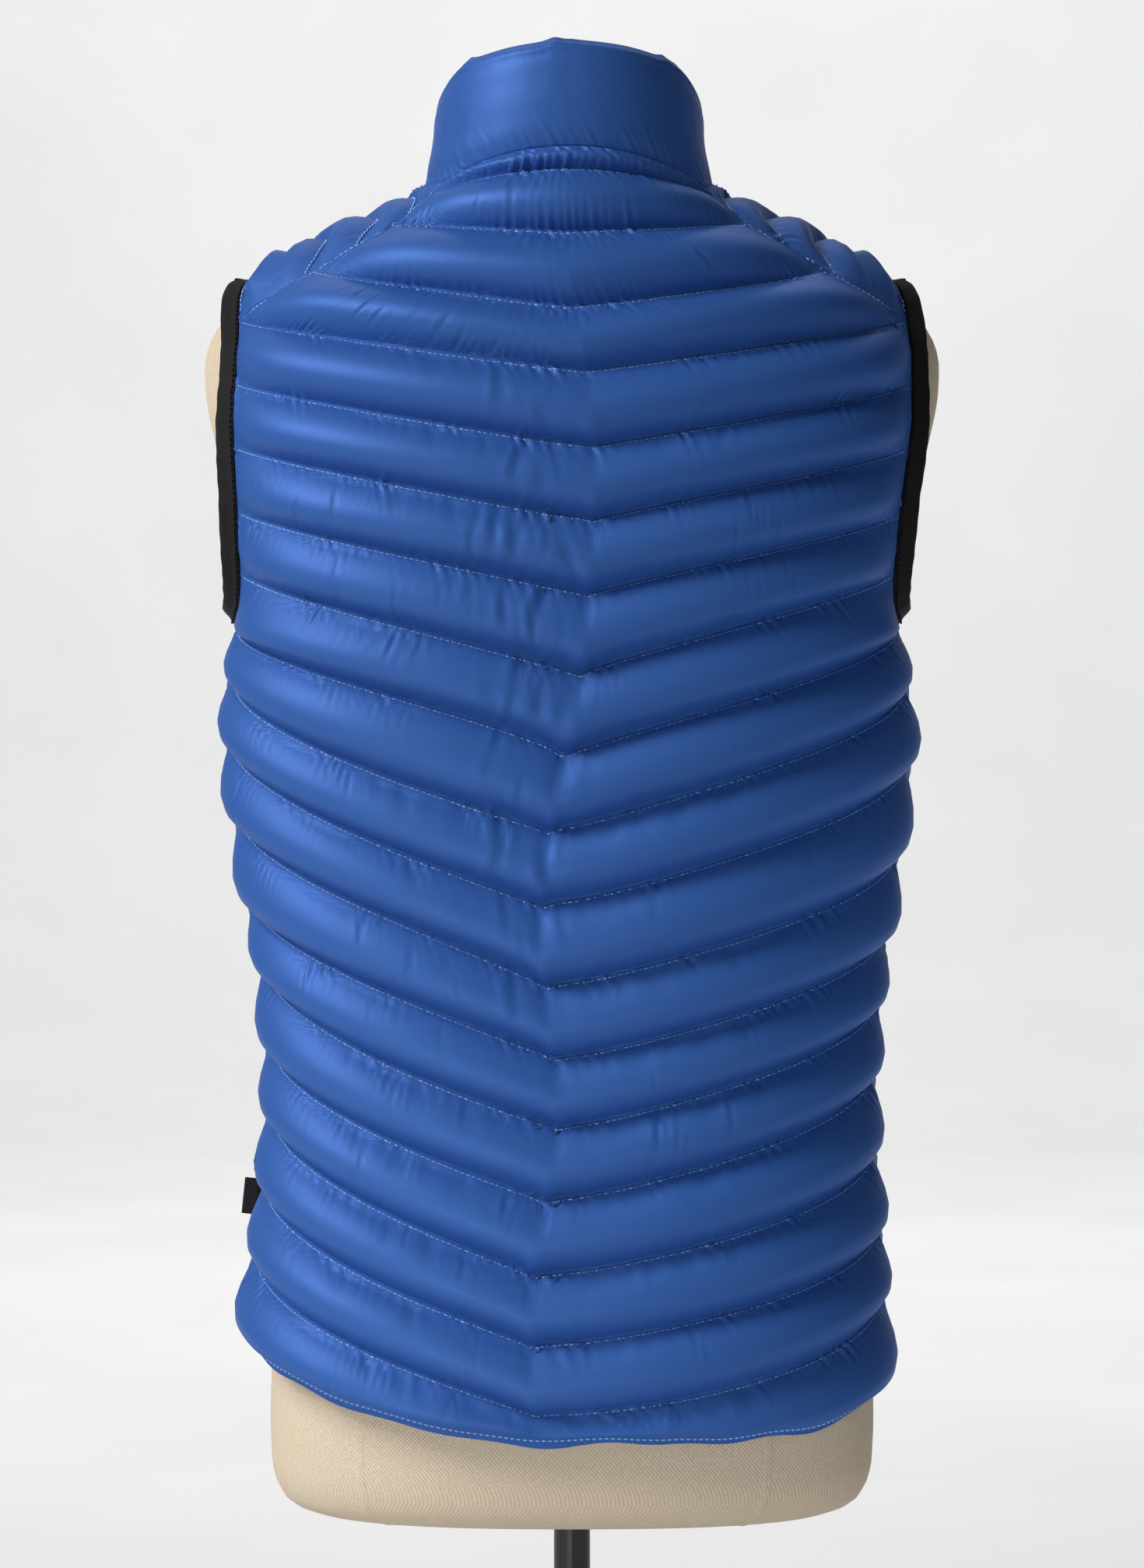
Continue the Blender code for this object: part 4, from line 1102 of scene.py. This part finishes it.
def shell_material(name, colour):
    """Satin nylon with a slight sheen: a fine weave, and small gathers close to the seams."""
    material, tree, surface = new_material(name)
    cloth = add_node(tree, "ShaderNodeAttribute", (-1100, 100), attribute_name="cloth_place")
    place = cloth.outputs["Vector"]
    near = add_node(tree, "ShaderNodeAttribute", (-1100, -300), attribute_name="seam_near")
    tone = add_mottle(tree, surface, place, colour, 0.9, (0.51, 0.57), 9.0)
    tree.links.new(tone, surface.inputs["Base Color"])
    stretch = add_node(tree, "ShaderNodeVectorMath", (-850, -300), operation="MULTIPLY")
    stretch.inputs[1].default_value = (1.0, 0.45, 1.0)
    tree.links.new(place, stretch.inputs[0])
    noise = add_node(tree, "ShaderNodeTexNoise", (-650, -300))
    noise.inputs["Scale"].default_value = 230.0
    noise.inputs["Detail"].default_value = 2.0
    tree.links.new(stretch.outputs["Vector"], noise.inputs["Vector"])
    gathers = math_node(tree, (-450, -300), "MULTIPLY", noise.outputs["Fac"], near.outputs["Fac"])
    threads = add_bump(tree, -100, 0.15, 0.00005, add_weave(tree, place, 0.00035, 0.3))
    creased = add_bump(tree, -300, 0.5, 0.0012, gathers)
    tree.links.new(threads.outputs["Normal"], creased.inputs["Normal"])
    tree.links.new(creased.outputs["Normal"], surface.inputs["Normal"])
    surface.inputs["Specular IOR Level"].default_value = 0.24
    surface.inputs["Metallic"].default_value = 0.25
    return material


def woven_material(name, colour, pitch, depth, roughness, spots):
    """A woven cloth or tape whose threads show as a fine relief, with painted shade darkening the
    gaps between them.
    """
    material, tree, surface = new_material(name)
    cloth = add_node(tree, "ShaderNodeAttribute", (-1000, 100), attribute_name="cloth_place")
    place, limits = cloth.outputs["Vector"], (roughness - 0.06, roughness + 0.06)
    tone = add_mottle(tree, surface, place, colour, 0.68, limits, spots)
    weave = add_weave(tree, place, pitch, 0.6)
    # Painted shade: the weave's height darkens the colour where the threads dip into the gaps.
    painted_gap_shade = add_node(tree, "ShaderNodeMix", (-300, 250), data_type="RGBA", blend_type="MULTIPLY")
    painted_gap_shade.inputs["Factor"].default_value = 0.35
    tree.links.new(tone, painted_gap_shade.inputs[FIRST_MIX_COLOUR])
    tree.links.new(weave, painted_gap_shade.inputs[SECOND_MIX_COLOUR])
    tree.links.new(painted_gap_shade.outputs[MIXED_COLOUR], surface.inputs["Base Color"])
    bump = add_bump(tree, -100, 0.6, depth, weave)
    tree.links.new(bump.outputs["Normal"], surface.inputs["Normal"])
    surface.inputs["Specular IOR Level"].default_value = 0.3
    return material


def plain_material(name, colour, roughness, metallic, spots):
    """A hard finish whose gloss varies a little."""
    material, tree, surface = new_material(name)
    place = add_node(tree, "ShaderNodeTexCoord", (-1000, 0)).outputs["Object"]
    limits = (roughness - 0.05, roughness + 0.08)
    tone = add_mottle(tree, surface, place, colour, 0.85, limits, spots)
    tree.links.new(tone, surface.inputs["Base Color"])
    surface.inputs["Metallic"].default_value = metallic
    return material


def ready_material(maker, name, *words):
    """The material of this name, made when it is first needed."""
    return bpy.data.materials.get(name) or maker(name, *words)


def shell():
    colour = tuple(bpy.context.scene.vest_cloth.shell_colour)
    return ready_material(shell_material, "blue_shell_fabric", colour)


def tape_finish():
    colour = tuple(bpy.context.scene.vest_trims.tape_colour)
    words = ("black_tape_weave", colour, 0.0009, 0.00018, 0.82, 60.0)
    return ready_material(woven_material, *words)


def linen_finish():
    colour = tuple(bpy.context.scene.vest_trims.linen_colour)
    words = ("linen_cover_weave", colour, 0.0011, 0.0005, 0.88, 520.0)
    return ready_material(woven_material, *words)


def metal_finish():
    words = ("dark_zip_metal", (0.05, 0.05, 0.055), 0.34, 0.9, 400.0)
    return ready_material(plain_material, *words)


def coat_finish():
    words = ("stand_coat", (0.018, 0.018, 0.02), 0.36, 0.1, 300.0)
    return ready_material(plain_material, *words)


def thread_finish():
    colour = tuple(bpy.context.scene.vest_trims.thread_colour)
    return ready_material(plain_material, "blue_thread", colour, 0.6, 0.0, 900.0)


def stacked_rings(first, rings, sides):
    """The faces of rings of points stacked one on the next, closed at both ends."""
    faces = []
    last = first + (rings - 1) * sides
    for ring in range(first, last, sides):
        for s in range(sides):
            on = (s + 1) % sides
            faces.append((ring + s, ring + on, ring + sides + on, ring + sides + s))
    faces.append(tuple(range(first + sides - 1, first - 1, -1)))
    faces.append(tuple(range(last, last + sides)))
    return faces


def stitches(name, lines, material):
    """Rows of short stitches, joined in one piece, that lie along lines on the cloth."""
    ring = np.linspace(0, TURN, STITCH_SIDES, endpoint=False)
    points, faces = [], []
    for line, normals in lines:
        along = line_length(line)
        for start in np.arange(STITCH_PITCH, along[-1] - STITCH_PITCH, STITCH_PITCH):
            at = start + STITCH_LENGTH * np.array((0.0, 0.5, 1.0))
            middle = on_line(at, along, line)
            out = unit(on_line(at[1], along, normals))
            side = unit(np.cross(middle[2] - middle[0], out))
            faces += stacked_rings(len(points), len(STITCH_RINGS), STITCH_SIDES)
            for spot, (full, high) in zip(middle, STITCH_RINGS):
                centre = spot + out * (THREAD_LIFT + STITCH_RADIUS * 0.7 * high)
                radius = STITCH_RADIUS * full
                points += [centre + radius * (math.cos(a) * out + math.sin(a) * side) for a in ring]
    mesh = bpy.data.meshes.new(name)
    mesh.from_pydata(points, [], faces)
    mesh.shade_smooth()
    add_piece(name, mesh, material)


def tube_grid(sections, closed):
    """The faces of sections joined in a row, with ends unless it is a closed loop."""
    count, sides = sections.shape[:2]
    index = np.arange(count * sides).reshape(count, sides)
    around = np.roll(index, -1, axis=1)
    here = np.arange(count if closed else count - 1)
    on = (here + 1) % count
    faces = np.stack([index[here], around[here], around[on], index[on]], axis=-1)
    faces = faces.reshape(-1, 4).tolist()
    if not closed:
        faces += [index[0, ::-1].tolist(), index[-1].tolist()]
    return faces


def swept_piece(name, sections, closed, material):
    """A smooth piece from its sections, with its own cloth coordinates."""
    mesh = bpy.data.meshes.new(name)
    mesh.from_pydata(sections.reshape(-1, 3), [], tube_grid(sections, closed))
    mesh.shade_smooth()
    along, around = run_length(sections, 0), run_length(sections, 1)
    place = np.stack([along, around, np.zeros_like(along)], axis=-1)
    add_values(mesh, "cloth_place", "FLOAT_VECTOR", place)
    return add_piece(name, mesh, material)


def resampled_loop(points, count):
    """Evenly spaced points on a smooth closed line through the given ones."""
    closed = np.concatenate([points[-3:], points, points[:4]])
    along = line_length(closed)
    at = np.linspace(along[3], along[3 + len(points)], count, endpoint=False)
    return smooth_columns(np.column_stack([along, closed]))(at).T


def armhole_line(side):
    """Angles and heights round an armhole: behind from below, over the top, then in front."""
    column = 1 if side > 0 else 2
    behind = [back_end(seam, column) for seam in np.linspace(BACK_ENDS[0], BACK_ENDS[1], 41)]
    before = [front_end(seam, 0.0) for seam in np.linspace(FRONT_ENDS[0], FRONT_ENDS[1], 57)]
    angle, height = np.array(behind + before[-2:0:-1]).T
    return side * angle, height


def make_binding(word, side):
    """Elastic tape folded round the edge of an armhole, with a seam of stitches."""
    name = f"armhole_binding_{word}"
    angle, height = armhole_line(side)
    edge = resampled_loop(skin(angle, height), TAPE_STEPS)
    normal = unit(resampled_loop(outward(angle, height), TAPE_STEPS))
    along = np.roll(edge, -1, axis=0) - np.roll(edge, 1, axis=0)
    inward = unit(np.cross(normal, along) * side)
    run = np.linspace(0, TAPE_LOOP, len(edge), endpoint=False)
    lengths = [TAPE_LOOP / count for count in TAPE_WAVE_COUNTS]
    wave = TAPE_WAVE * waves(run, lengths, 11)[:, None]
    middle = edge + inward * SEAM_GAP + normal * wave
    share = np.linspace(0, 1, 13)
    face, under = (smooth_columns(table)(share).T for table in (TAPE_FACE, TAPE_UNDER))
    outline = np.concatenate([face, under[::-1]])
    lean = unit(np.diff(np.concatenate([face, face[-1:] * 2 - face[-2:-1]]), axis=0))
    wall = TAPE_WALL * np.stack([lean[:, 1], -lean[:, 0]], axis=-1)
    cavity = np.concatenate([(under - wall)[:-2], (face + wall)[-3::-1]])
    section = np.concatenate([outline, cavity])
    sections = np.stack([middle + inward * p + normal * q for p, q in section], axis=1)
    binding = swept_piece(name, sections, True, tape_finish())
    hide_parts(f"armhole_tape_{word}")
    stitched = middle + inward * face[2, 0] + normal * face[2, 1]
    out = unit(normal * lean[2, 0] - inward * lean[2, 1])
    SEWN_LINES[name] = [tuple(np.concatenate([line, line[:1]]) for line in (stitched, out))]


def collar_grids(columns, rows):
    """The collar's plain ground, points and normals, at these shares of its height."""
    parts = (
        front_right_spot(np.linspace(0, 1, 14), FRONT_ENDS[-1]),
        back_spot(np.linspace(-1, 1, 25), BACK_ENDS[-1]),
        front_left_spot(np.linspace(0, 1, 14), FRONT_ENDS[-1]),
    )
    angle, at = np.unique(np.round(np.concatenate([part[0] for part in parts]), 6), True)
    seam = np.concatenate([part[1] for part in parts])[at]
    fine = np.linspace(angle[0], angle[-1], columns)
    seam = np.interp(fine, angle, seam)
    top = collar_top(np.abs(np.degrees(fine)))[0]
    for at, rise, wide in COLLAR_POINTS:
        top = top + rise * np.exp(-np.abs((np.degrees(fine) - at) / wide) ** 1.6)
    height = seam + (top - seam) * rows[:, None]
    ends = [math.pi - angle_at(ZIP_HALF_GAP, height, side) for side in (0, 1)]
    to_end = np.where(fine > 0, ends[0] - fine.max(), ends[1] + fine.min())
    angles = fine + to_end * np.sign(fine) * np.abs(fine / fine.max()) ** 8
    return skin(angles, height), outward(angles, height)


def make_collar_pad():
    """The stand collar: one padded band with soft gathers at its seam and a rolled top edge."""
    settings = bpy.context.scene.vest_cloth
    coarse, rows = np.linspace(0, 1, 15), np.linspace(0, 1, 61)
    base, normal = collar_grids(COLLAR_COLUMNS, coarse)
    full = smooth_columns(COLLAR_PROFILE)
    taper = side_taper(base) * 0.6 + 0.4
    rise = full(coarse)[0][:, None] * COLLAR_PUFF * taper
    rested = base + normal * rise[..., None]
    force = settings.pressure * COLLAR_PRESSURE
    settled = relax_cloth(rested, [0, -1], settings.collar_growth, force, COLLAR_MOVE)
    rested += (settled - rested) * MIDDLE_SHARE
    last = COLLAR_COLUMNS - 1
    finer = np.linspace(0, last, last * FINER_TIMES + 1)
    outer = finer_columns(rested, np.arange(COLLAR_COLUMNS), finer)
    outer = between_rows(outer, coarse, rows)
    base, normal = collar_grids(len(finer), rows)
    least = np.sum((outer - base) * normal, axis=-1)
    low = full(rows)[0][:, None] * COLLAR_PUFF * COLLAR_LEAST
    outer += normal * np.maximum(low - least, 0)[..., None] * (rows > 0)[:, None, None]
    fade = np.exp(-rows / COLLAR_GATHER) * (1 - np.exp(-rows / COLLAR_START))
    ripple = waves(run_length(outer, 1), COLLAR_WAVES, 91) * fade[:, None]
    outer += normal * (settings.gather_depth * COLLAR_DEPTH * ripple)[..., None]
    widths = np.full(base.shape[:2], COLLAR_HEIGHT)
    padded_piece("collar_pad", "collar", outer, base - normal * CLOTH_WALL, rows, widths, 10)


def make_zip():
    """The zip: a woven tape behind, and two rows of teeth that mesh."""
    height = np.linspace(FRONT_SEAMS[0][1] + 0.001, COLLAR_TOP[-1][1] - 0.002, 160)
    angle = np.full(height.shape, math.pi)
    line, normal = skin(angle, height), outward(angle, height)
    half, deep = ZIP_HALF_GAP - SEAM_GAP, -CLOTH_WALL + 0.0004
    face = deep + ZIP_TAPE
    right = [(-half, deep), (-half, face - 0.0003), (ZIP_SLOPE - half, face)]
    right += [(-ZIP_CORD - ZIP_SLOPE, face), (-ZIP_CORD, face + ZIP_SLOPE)]
    outline = right + [(-x, out) for x, out in right[::-1]]
    rings = [line + np.array((x, 0, 0)) + normal * out for x, out in outline]
    tape = swept_piece("zip_tape", np.stack(rings, axis=1), False, tape_finish())
    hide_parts("front_zip")
    along = line_length(line)
    corners = ((-0.5, -0.5), (-0.5, 0.5), (0.5, 0.5), (0.5, -0.5))
    wide, tall = TOOTH_SIZE
    points, faces = [], []
    for k in range(2 * int(along[-1] / TOOTH_PITCH)):
        at = (k + 0.5) * TOOTH_PITCH / 2
        middle, out = on_line(at, along, line), unit(on_line(at, along, normal))
        up = unit(np.cross(out, (1, 0, 0)))
        side = 1 if k % 2 else -1
        faces += stacked_rings(len(points), len(TOOTH_RINGS), len(corners))
        for above, shrink in TOOTH_RINGS:
            for u, v in corners:
                spot = middle + np.array((side * TOOTH_ASIDE + u * wide * shrink, 0, 0))
                points.append(spot + up * v * tall * shrink + out * (face + above))
    mesh = bpy.data.meshes.new("zip_teeth")
    mesh.from_pydata(points, [], faces)
    add_piece("zip_teeth", mesh, metal_finish())


def make_label_piece():
    """The bare flag label: a woven tab folded in half, with its fold outwards."""
    reach, thick, tall = LABEL_SIZE
    ends = np.array((LABEL_HEIGHT - tall / 2, LABEL_HEIGHT + tall / 2))
    below, above = skin(np.full(2, math.pi / 2), ends)
    root = (below + above) / 2 + np.array((LABEL_OUT, 0, 0))
    up = unit(above - below)
    out, side = np.array((up[2], 0, -up[0])), np.array((0.0, 1.0, 0.0))
    outer = [*LABEL_EDGE, *[(share, -deep) for share, deep in LABEL_EDGE[-2::-1]]]
    inner = [(min(share, 0.93), deep * 0.12) for share, deep in outer[::-1]]
    sections = []
    for row in np.linspace(-0.5, 0.5, 25):
        bend = LABEL_BEND * math.sin(row * 3.1 + 0.5)
        sections.append([
            root + up * row * tall + out * p * reach + side * (q * thick / 2 + bend * p * p)
            for p, q in outer + inner
        ])
    tab = swept_piece("flag_label", np.array(sections), False, tape_finish())
    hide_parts("side_label")


def make_form_cover():
    """The form's fitted linen cover, with an upright seam on each side behind and before."""
    heights = [row[0] for row in FORM_SECTIONS]
    fine = []
    for low, high in zip(heights[:-1], heights[1:]):
        steps = max(2, round((high - low) / COVER_STEP))
        fine += list(np.linspace(low, high, steps, endpoint=False))
    fine = np.array(fine + heights[-1:])
    seams = np.radians(COVER_SEAMS)
    beside = np.array(BESIDE_SEAM) / COVER_RADIUS
    turn = [angle for angle in np.linspace(-math.pi, math.pi, 120, endpoint=False)
            if np.min(np.abs(angle - seams)) > COVER_CLEAR]
    turn = np.array(sorted(turn + [s + d for s in seams for d in (*-beside[::-1], 0.0, *beside)]))
    half_width, back, front, square = form_section(fine)
    rows = zip(fine, half_width, back, front, square)
    points = np.array([on_section(turn, h, w, w, b, f, q) for h, w, b, f, q in rows])
    closed = np.concatenate([points[:, -1:], points, points[:, :1]], axis=1)
    normals = grid_normals(closed)[:, 1:-1]
    from_middle = points - points.mean(axis=1, keepdims=True)
    normals *= np.sign(np.sum(normals * from_middle, axis=-1))[..., None]
    away = np.min(np.abs(turn[:, None] - seams[None]), axis=1) * COVER_RADIUS
    ridge = COVER_RIDGE * bell(away, RIDGE_REACH)
    ridge -= COVER_GROOVE * bell(away, COVER_GROOVE_REACH)
    points += normals * ridge[None, :, None]
    cover = swept_piece("form_cover", points, False, linen_finish())
    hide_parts("dress_form")


def finish_stand():
    """Powder coat on the stand, and dark metal with soft edges on the slider and its pull."""
    coated, metal = ("stand_plate", "stand_pole"), ("zip_slider", "zip_pull")
    for node in (*coated, *metal):
        solid = bpy.data.objects[node]
        solid.data.materials.clear()
        solid.data.materials.append(coat_finish() if node in coated else metal_finish())
    for node in metal:
        edge = bpy.data.objects[node].modifiers.new("soft_edges", "BEVEL")
        edge.width = 0.00025
        edge.segments = 2
        edge.limit_method = "ANGLE"


def area_light(name, place, at, size, power, colour, spread):
    """A soft square light that faces a point."""
    light = bpy.data.lights.new(name, "AREA")
    light.shape = "SQUARE"
    light.size = size
    light.energy = power
    light.color = colour
    light.spread = math.radians(spread)
    lamp = bpy.data.objects.new(name, light)
    bpy.context.scene.collection.objects.link(lamp)
    lamp.location = place
    lamp.rotation_euler = (Vector(at) - Vector(place)).to_track_quat("-Z", "Y").to_euler()
    return lamp


def make_floor(scene, settings):
    """A pale floor that curves up far behind, with a faint glow of its own."""
    bend, far = FLOOR_BEND, FLOOR_FAR
    turns = np.linspace(0, math.pi / 2, 25)
    profile = [(y, 0.0) for y in np.linspace(FLOOR_NEAR, far, 12)]
    profile += [(far - bend * math.sin(a), bend - bend * math.cos(a)) for a in turns[1:]]
    profile += [(far - bend, WALL_TOP)]
    points = [(x, y, z) for y, z in profile for x in (-FLOOR_HALF, FLOOR_HALF)]
    faces = [(k, k + 1, k + 3, k + 2) for k in range(0, len(points) - 2, 2)]
    mesh = bpy.data.meshes.new("studio_floor")
    mesh.from_pydata(points, [], faces)
    mesh.shade_smooth()
    floor = bpy.data.objects.new("studio_floor", mesh)
    scene.collection.objects.link(floor)
    paper = plain_material("studio_paper", tuple(settings.paper_colour), 0.9, 0.0, 2.0)
    surface = paper.node_tree.nodes["Principled BSDF"].inputs
    surface["Emission Color"].default_value = (1.0, 1.0, 1.0, 1.0)
    surface["Emission Strength"].default_value = settings.paper_glow
    mesh.materials.append(paper)
    return floor


def make_studio():
    """The floor and backdrop, soft light from the upper left, and the camera."""
    scene = bpy.context.scene
    settings = scene.vest_studio
    floor = make_floor(scene, settings)
    lamps = [
        area_light(name, place, at, size, getattr(settings, power), colour, spread)
        for name, power, place, at, size, colour, spread in LAMPS
    ]
    world = bpy.data.worlds.new("studio_air")
    world.use_nodes = True
    world.node_tree.nodes["Background"].inputs["Color"].default_value = AIR_COLOUR
    world.node_tree.nodes["Background"].inputs["Strength"].default_value = settings.air_light
    scene.world = world
    scene.view_settings.view_transform = "Standard"
    camera_data = bpy.data.cameras.new("photo_camera")
    camera_data.lens = settings.lens
    camera_data.sensor_width = 36
    camera = bpy.data.objects.new("photo_camera", camera_data)
    scene.collection.objects.link(camera)
    camera.location = (0.0, settings.camera_distance, settings.camera_height)
    camera.rotation_euler = (math.pi / 2, 0, math.pi)
    scene.camera = camera


def colour_of(name, description, default):
    """A linear colour that a user may change."""
    return FloatVectorProperty(
        name=name, description=description, size=3, subtype="COLOR", min=0, max=1,
        default=default,
    )


class ClothSettings(bpy.types.PropertyGroup):
    """The jacket's cloth and filling."""

    shell_colour: colour_of("Shell colour", "Colour of the nylon shell", (0.037, 0.127, 0.445))
    puff: FloatProperty(
        name="Puff", description="How far a full channel stands off the seams",
        unit="LENGTH", default=0.0122,
    )
    droop: FloatProperty(
        name="Droop", description="How far a channel hangs, as a share of its rise", default=0.16
    )
    growth: FloatProperty(
        name="Spare cloth", description="Share of spare cloth between seams", default=0.001
    )
    collar_growth: FloatProperty(
        name="Collar's spare cloth", description="Share of spare cloth in the collar", default=0.001
    )
    pressure: FloatProperty(
        name="Filling pressure", description="Pressure of the filling on the cloth", default=4.0
    )
    largest_move: FloatProperty(
        name="Largest move", description="How far a point of the cloth may move",
        unit="LENGTH", default=0.006,
    )
    frames: IntProperty(name="Frames", description="Frames of cloth simulation", default=14)
    gather_depth: FloatProperty(
        name="Gathers", description="Depth of the small gathers at the seams",
        unit="LENGTH", default=0.0014,
    )


class TrimSettings(bpy.types.PropertyGroup):
    """Colours of the tape, the thread and the form's cover."""

    tape_colour: colour_of("Tape colour", "Colour of the elastic tape", (0.012, 0.012, 0.014))
    thread_colour: colour_of("Thread colour", "Colour of the quilting thread", (0.30, 0.56, 1.0))
    linen_colour: colour_of("Linen colour", "Colour of the form's cover", (1.0, 0.84, 0.64))


class StudioSettings(bpy.types.PropertyGroup):
    """The studio's light and camera."""

    paper_colour: colour_of("Paper colour", "Colour of floor and backdrop", (0.86, 0.86, 0.86))
    key_power: FloatProperty(
        name="Key light", description="Power of the main light", unit="POWER", default=71.0
    )
    fill_power: FloatProperty(
        name="Fill light", description="Power of the fill light", unit="POWER", default=2.6
    )
    back_power: FloatProperty(
        name="Back light", description="Power of the light on the backdrop", unit="POWER",
        default=180.0,
    )
    low_power: FloatProperty(
        name="Low light", description="Power of the light on the form's lower edge",
        unit="POWER", default=0.45,
    )
    paper_glow: FloatProperty(
        name="Paper glow", description="Light that the backdrop itself gives off", default=0.12
    )
    air_light: FloatProperty(
        name="Air light", description="Strength of the even light of the room", default=0.10
    )
    camera_distance: FloatProperty(
        name="Camera distance", description="From the object's centre line", unit="LENGTH",
        default=2.3,
    )
    camera_height: FloatProperty(
        name="Camera height", description="Above the floor", unit="LENGTH", default=0.658
    )
    lens: FloatProperty(
        name="Lens", description="Focal length", subtype="DISTANCE_CAMERA", default=95.6
    )


class VEST_OT_form_cover(bpy.types.Operator):
    """Add the dress form in its linen cover"""

    bl_idname = "vest.form_cover"
    bl_label = "Dress Form"

    def execute(self, context):
        make_form_cover()
        return {"FINISHED"}


class VEST_OT_quilted_panels(bpy.types.Operator):
    """Add the quilted back and fronts"""

    bl_idname = "vest.quilted_panels"
    bl_label = "Quilted Panels"

    def execute(self, context):
        puff = context.scene.vest_cloth.puff
        back = {"puff": puff, "strays": 60, "seed": 21, "creases": 5, "sewn_edge": BACK_ENDS[1]}
        front = {"puff": puff * 0.95, "strays": 30, "seed": 57, "split": FRONT_ENDS[1]}
        columns = np.linspace(-1, 1, 127)
        quilted_piece("back_quilt", "back_panel", back_spot, BACK_ENDS[-1], columns, back)
        columns = np.linspace(0, 1, 73)
        for word, spot in (("left", front_left_spot), ("right", front_right_spot)):
            names = (f"front_{word}_quilt", f"front_{word}")
            quilted_piece(*names, spot, FRONT_ENDS[-1], columns, front)
        return {"FINISHED"}


class VEST_OT_collar(bpy.types.Operator):
    """Add the padded stand collar"""

    bl_idname = "vest.collar"
    bl_label = "Collar"

    def execute(self, context):
        make_collar_pad()
        return {"FINISHED"}


class VEST_OT_bindings(bpy.types.Operator):
    """Add the elastic tape round the armholes"""

    bl_idname = "vest.bindings"
    bl_label = "Armhole Bindings"

    def execute(self, context):
        for word, side in (("left", 1), ("right", -1)):
            make_binding(word, side)
        return {"FINISHED"}


class VEST_OT_zip(bpy.types.Operator):
    """Add the zip's tape and teeth"""

    bl_idname = "vest.zip"
    bl_label = "Zip"

    def execute(self, context):
        make_zip()
        return {"FINISHED"}


class VEST_OT_label(bpy.types.Operator):
    """Add the bare label in the side seam"""

    bl_idname = "vest.label"
    bl_label = "Flag Label"

    def execute(self, context):
        make_label_piece()
        return {"FINISHED"}


class VEST_OT_stitching(bpy.types.Operator):
    """Add the quilting stitches and the stitches on the tape"""

    bl_idname = "vest.stitching"
    bl_label = "Stitching"

    def execute(self, context):
        for name, lines in SEWN_LINES.items():
            on_tape = "binding" in name
            finish = tape_finish() if on_tape else thread_finish()
            stitches(f"{name}_stitches", lines, finish)
        return {"FINISHED"}


class VEST_OT_hardware(bpy.types.Operator):
    """Finish the stand, the slider and the pull"""

    bl_idname = "vest.hardware"
    bl_label = "Stand and Slider"

    def execute(self, context):
        finish_stand()
        return {"FINISHED"}


class VEST_OT_studio(bpy.types.Operator):
    """Add the floor, the light and the camera"""

    bl_idname = "vest.studio"
    bl_label = "Studio"

    def execute(self, context):
        make_studio()
        return {"FINISHED"}


OPERATORS = (
    VEST_OT_form_cover,
    VEST_OT_quilted_panels,
    VEST_OT_collar,
    VEST_OT_bindings,
    VEST_OT_zip,
    VEST_OT_label,
    VEST_OT_stitching,
    VEST_OT_hardware,
    VEST_OT_studio,
)
SETTINGS = (
    ("vest_cloth", ClothSettings),
    ("vest_trims", TrimSettings),
    ("vest_studio", StudioSettings),
)


class VEST_PT_sidebar(bpy.types.Panel):
    """The vest's pieces and settings"""

    bl_label = "Vest"
    bl_idname = "VEST_PT_sidebar"
    bl_space_type = "VIEW_3D"
    bl_region_type = "UI"
    bl_category = "Vest"

    def draw(self, context):
        for name, kind in SETTINGS:
            box = self.layout.box()
            for setting in kind.__annotations__:
                box.prop(getattr(context.scene, name), setting)
        for operator in OPERATORS:
            self.layout.operator(operator.bl_idname)


def register():
    for _, kind in SETTINGS:
        bpy.utils.register_class(kind)
    for kind in (*OPERATORS, VEST_PT_sidebar):
        bpy.utils.register_class(kind)
    for name, kind in SETTINGS:
        setattr(bpy.types.Scene, name, PointerProperty(type=kind))


def unregister():
    for name, _ in SETTINGS:
        delattr(bpy.types.Scene, name)
    for kind in (VEST_PT_sidebar, *reversed(OPERATORS)):
        bpy.utils.unregister_class(kind)
    for _, kind in SETTINGS:
        bpy.utils.unregister_class(kind)


def main():
    register()
    for operator in OPERATORS:
        group, name = operator.bl_idname.split(".")
        getattr(getattr(bpy.ops, group), name)()


if __name__ == "__main__":
    main()
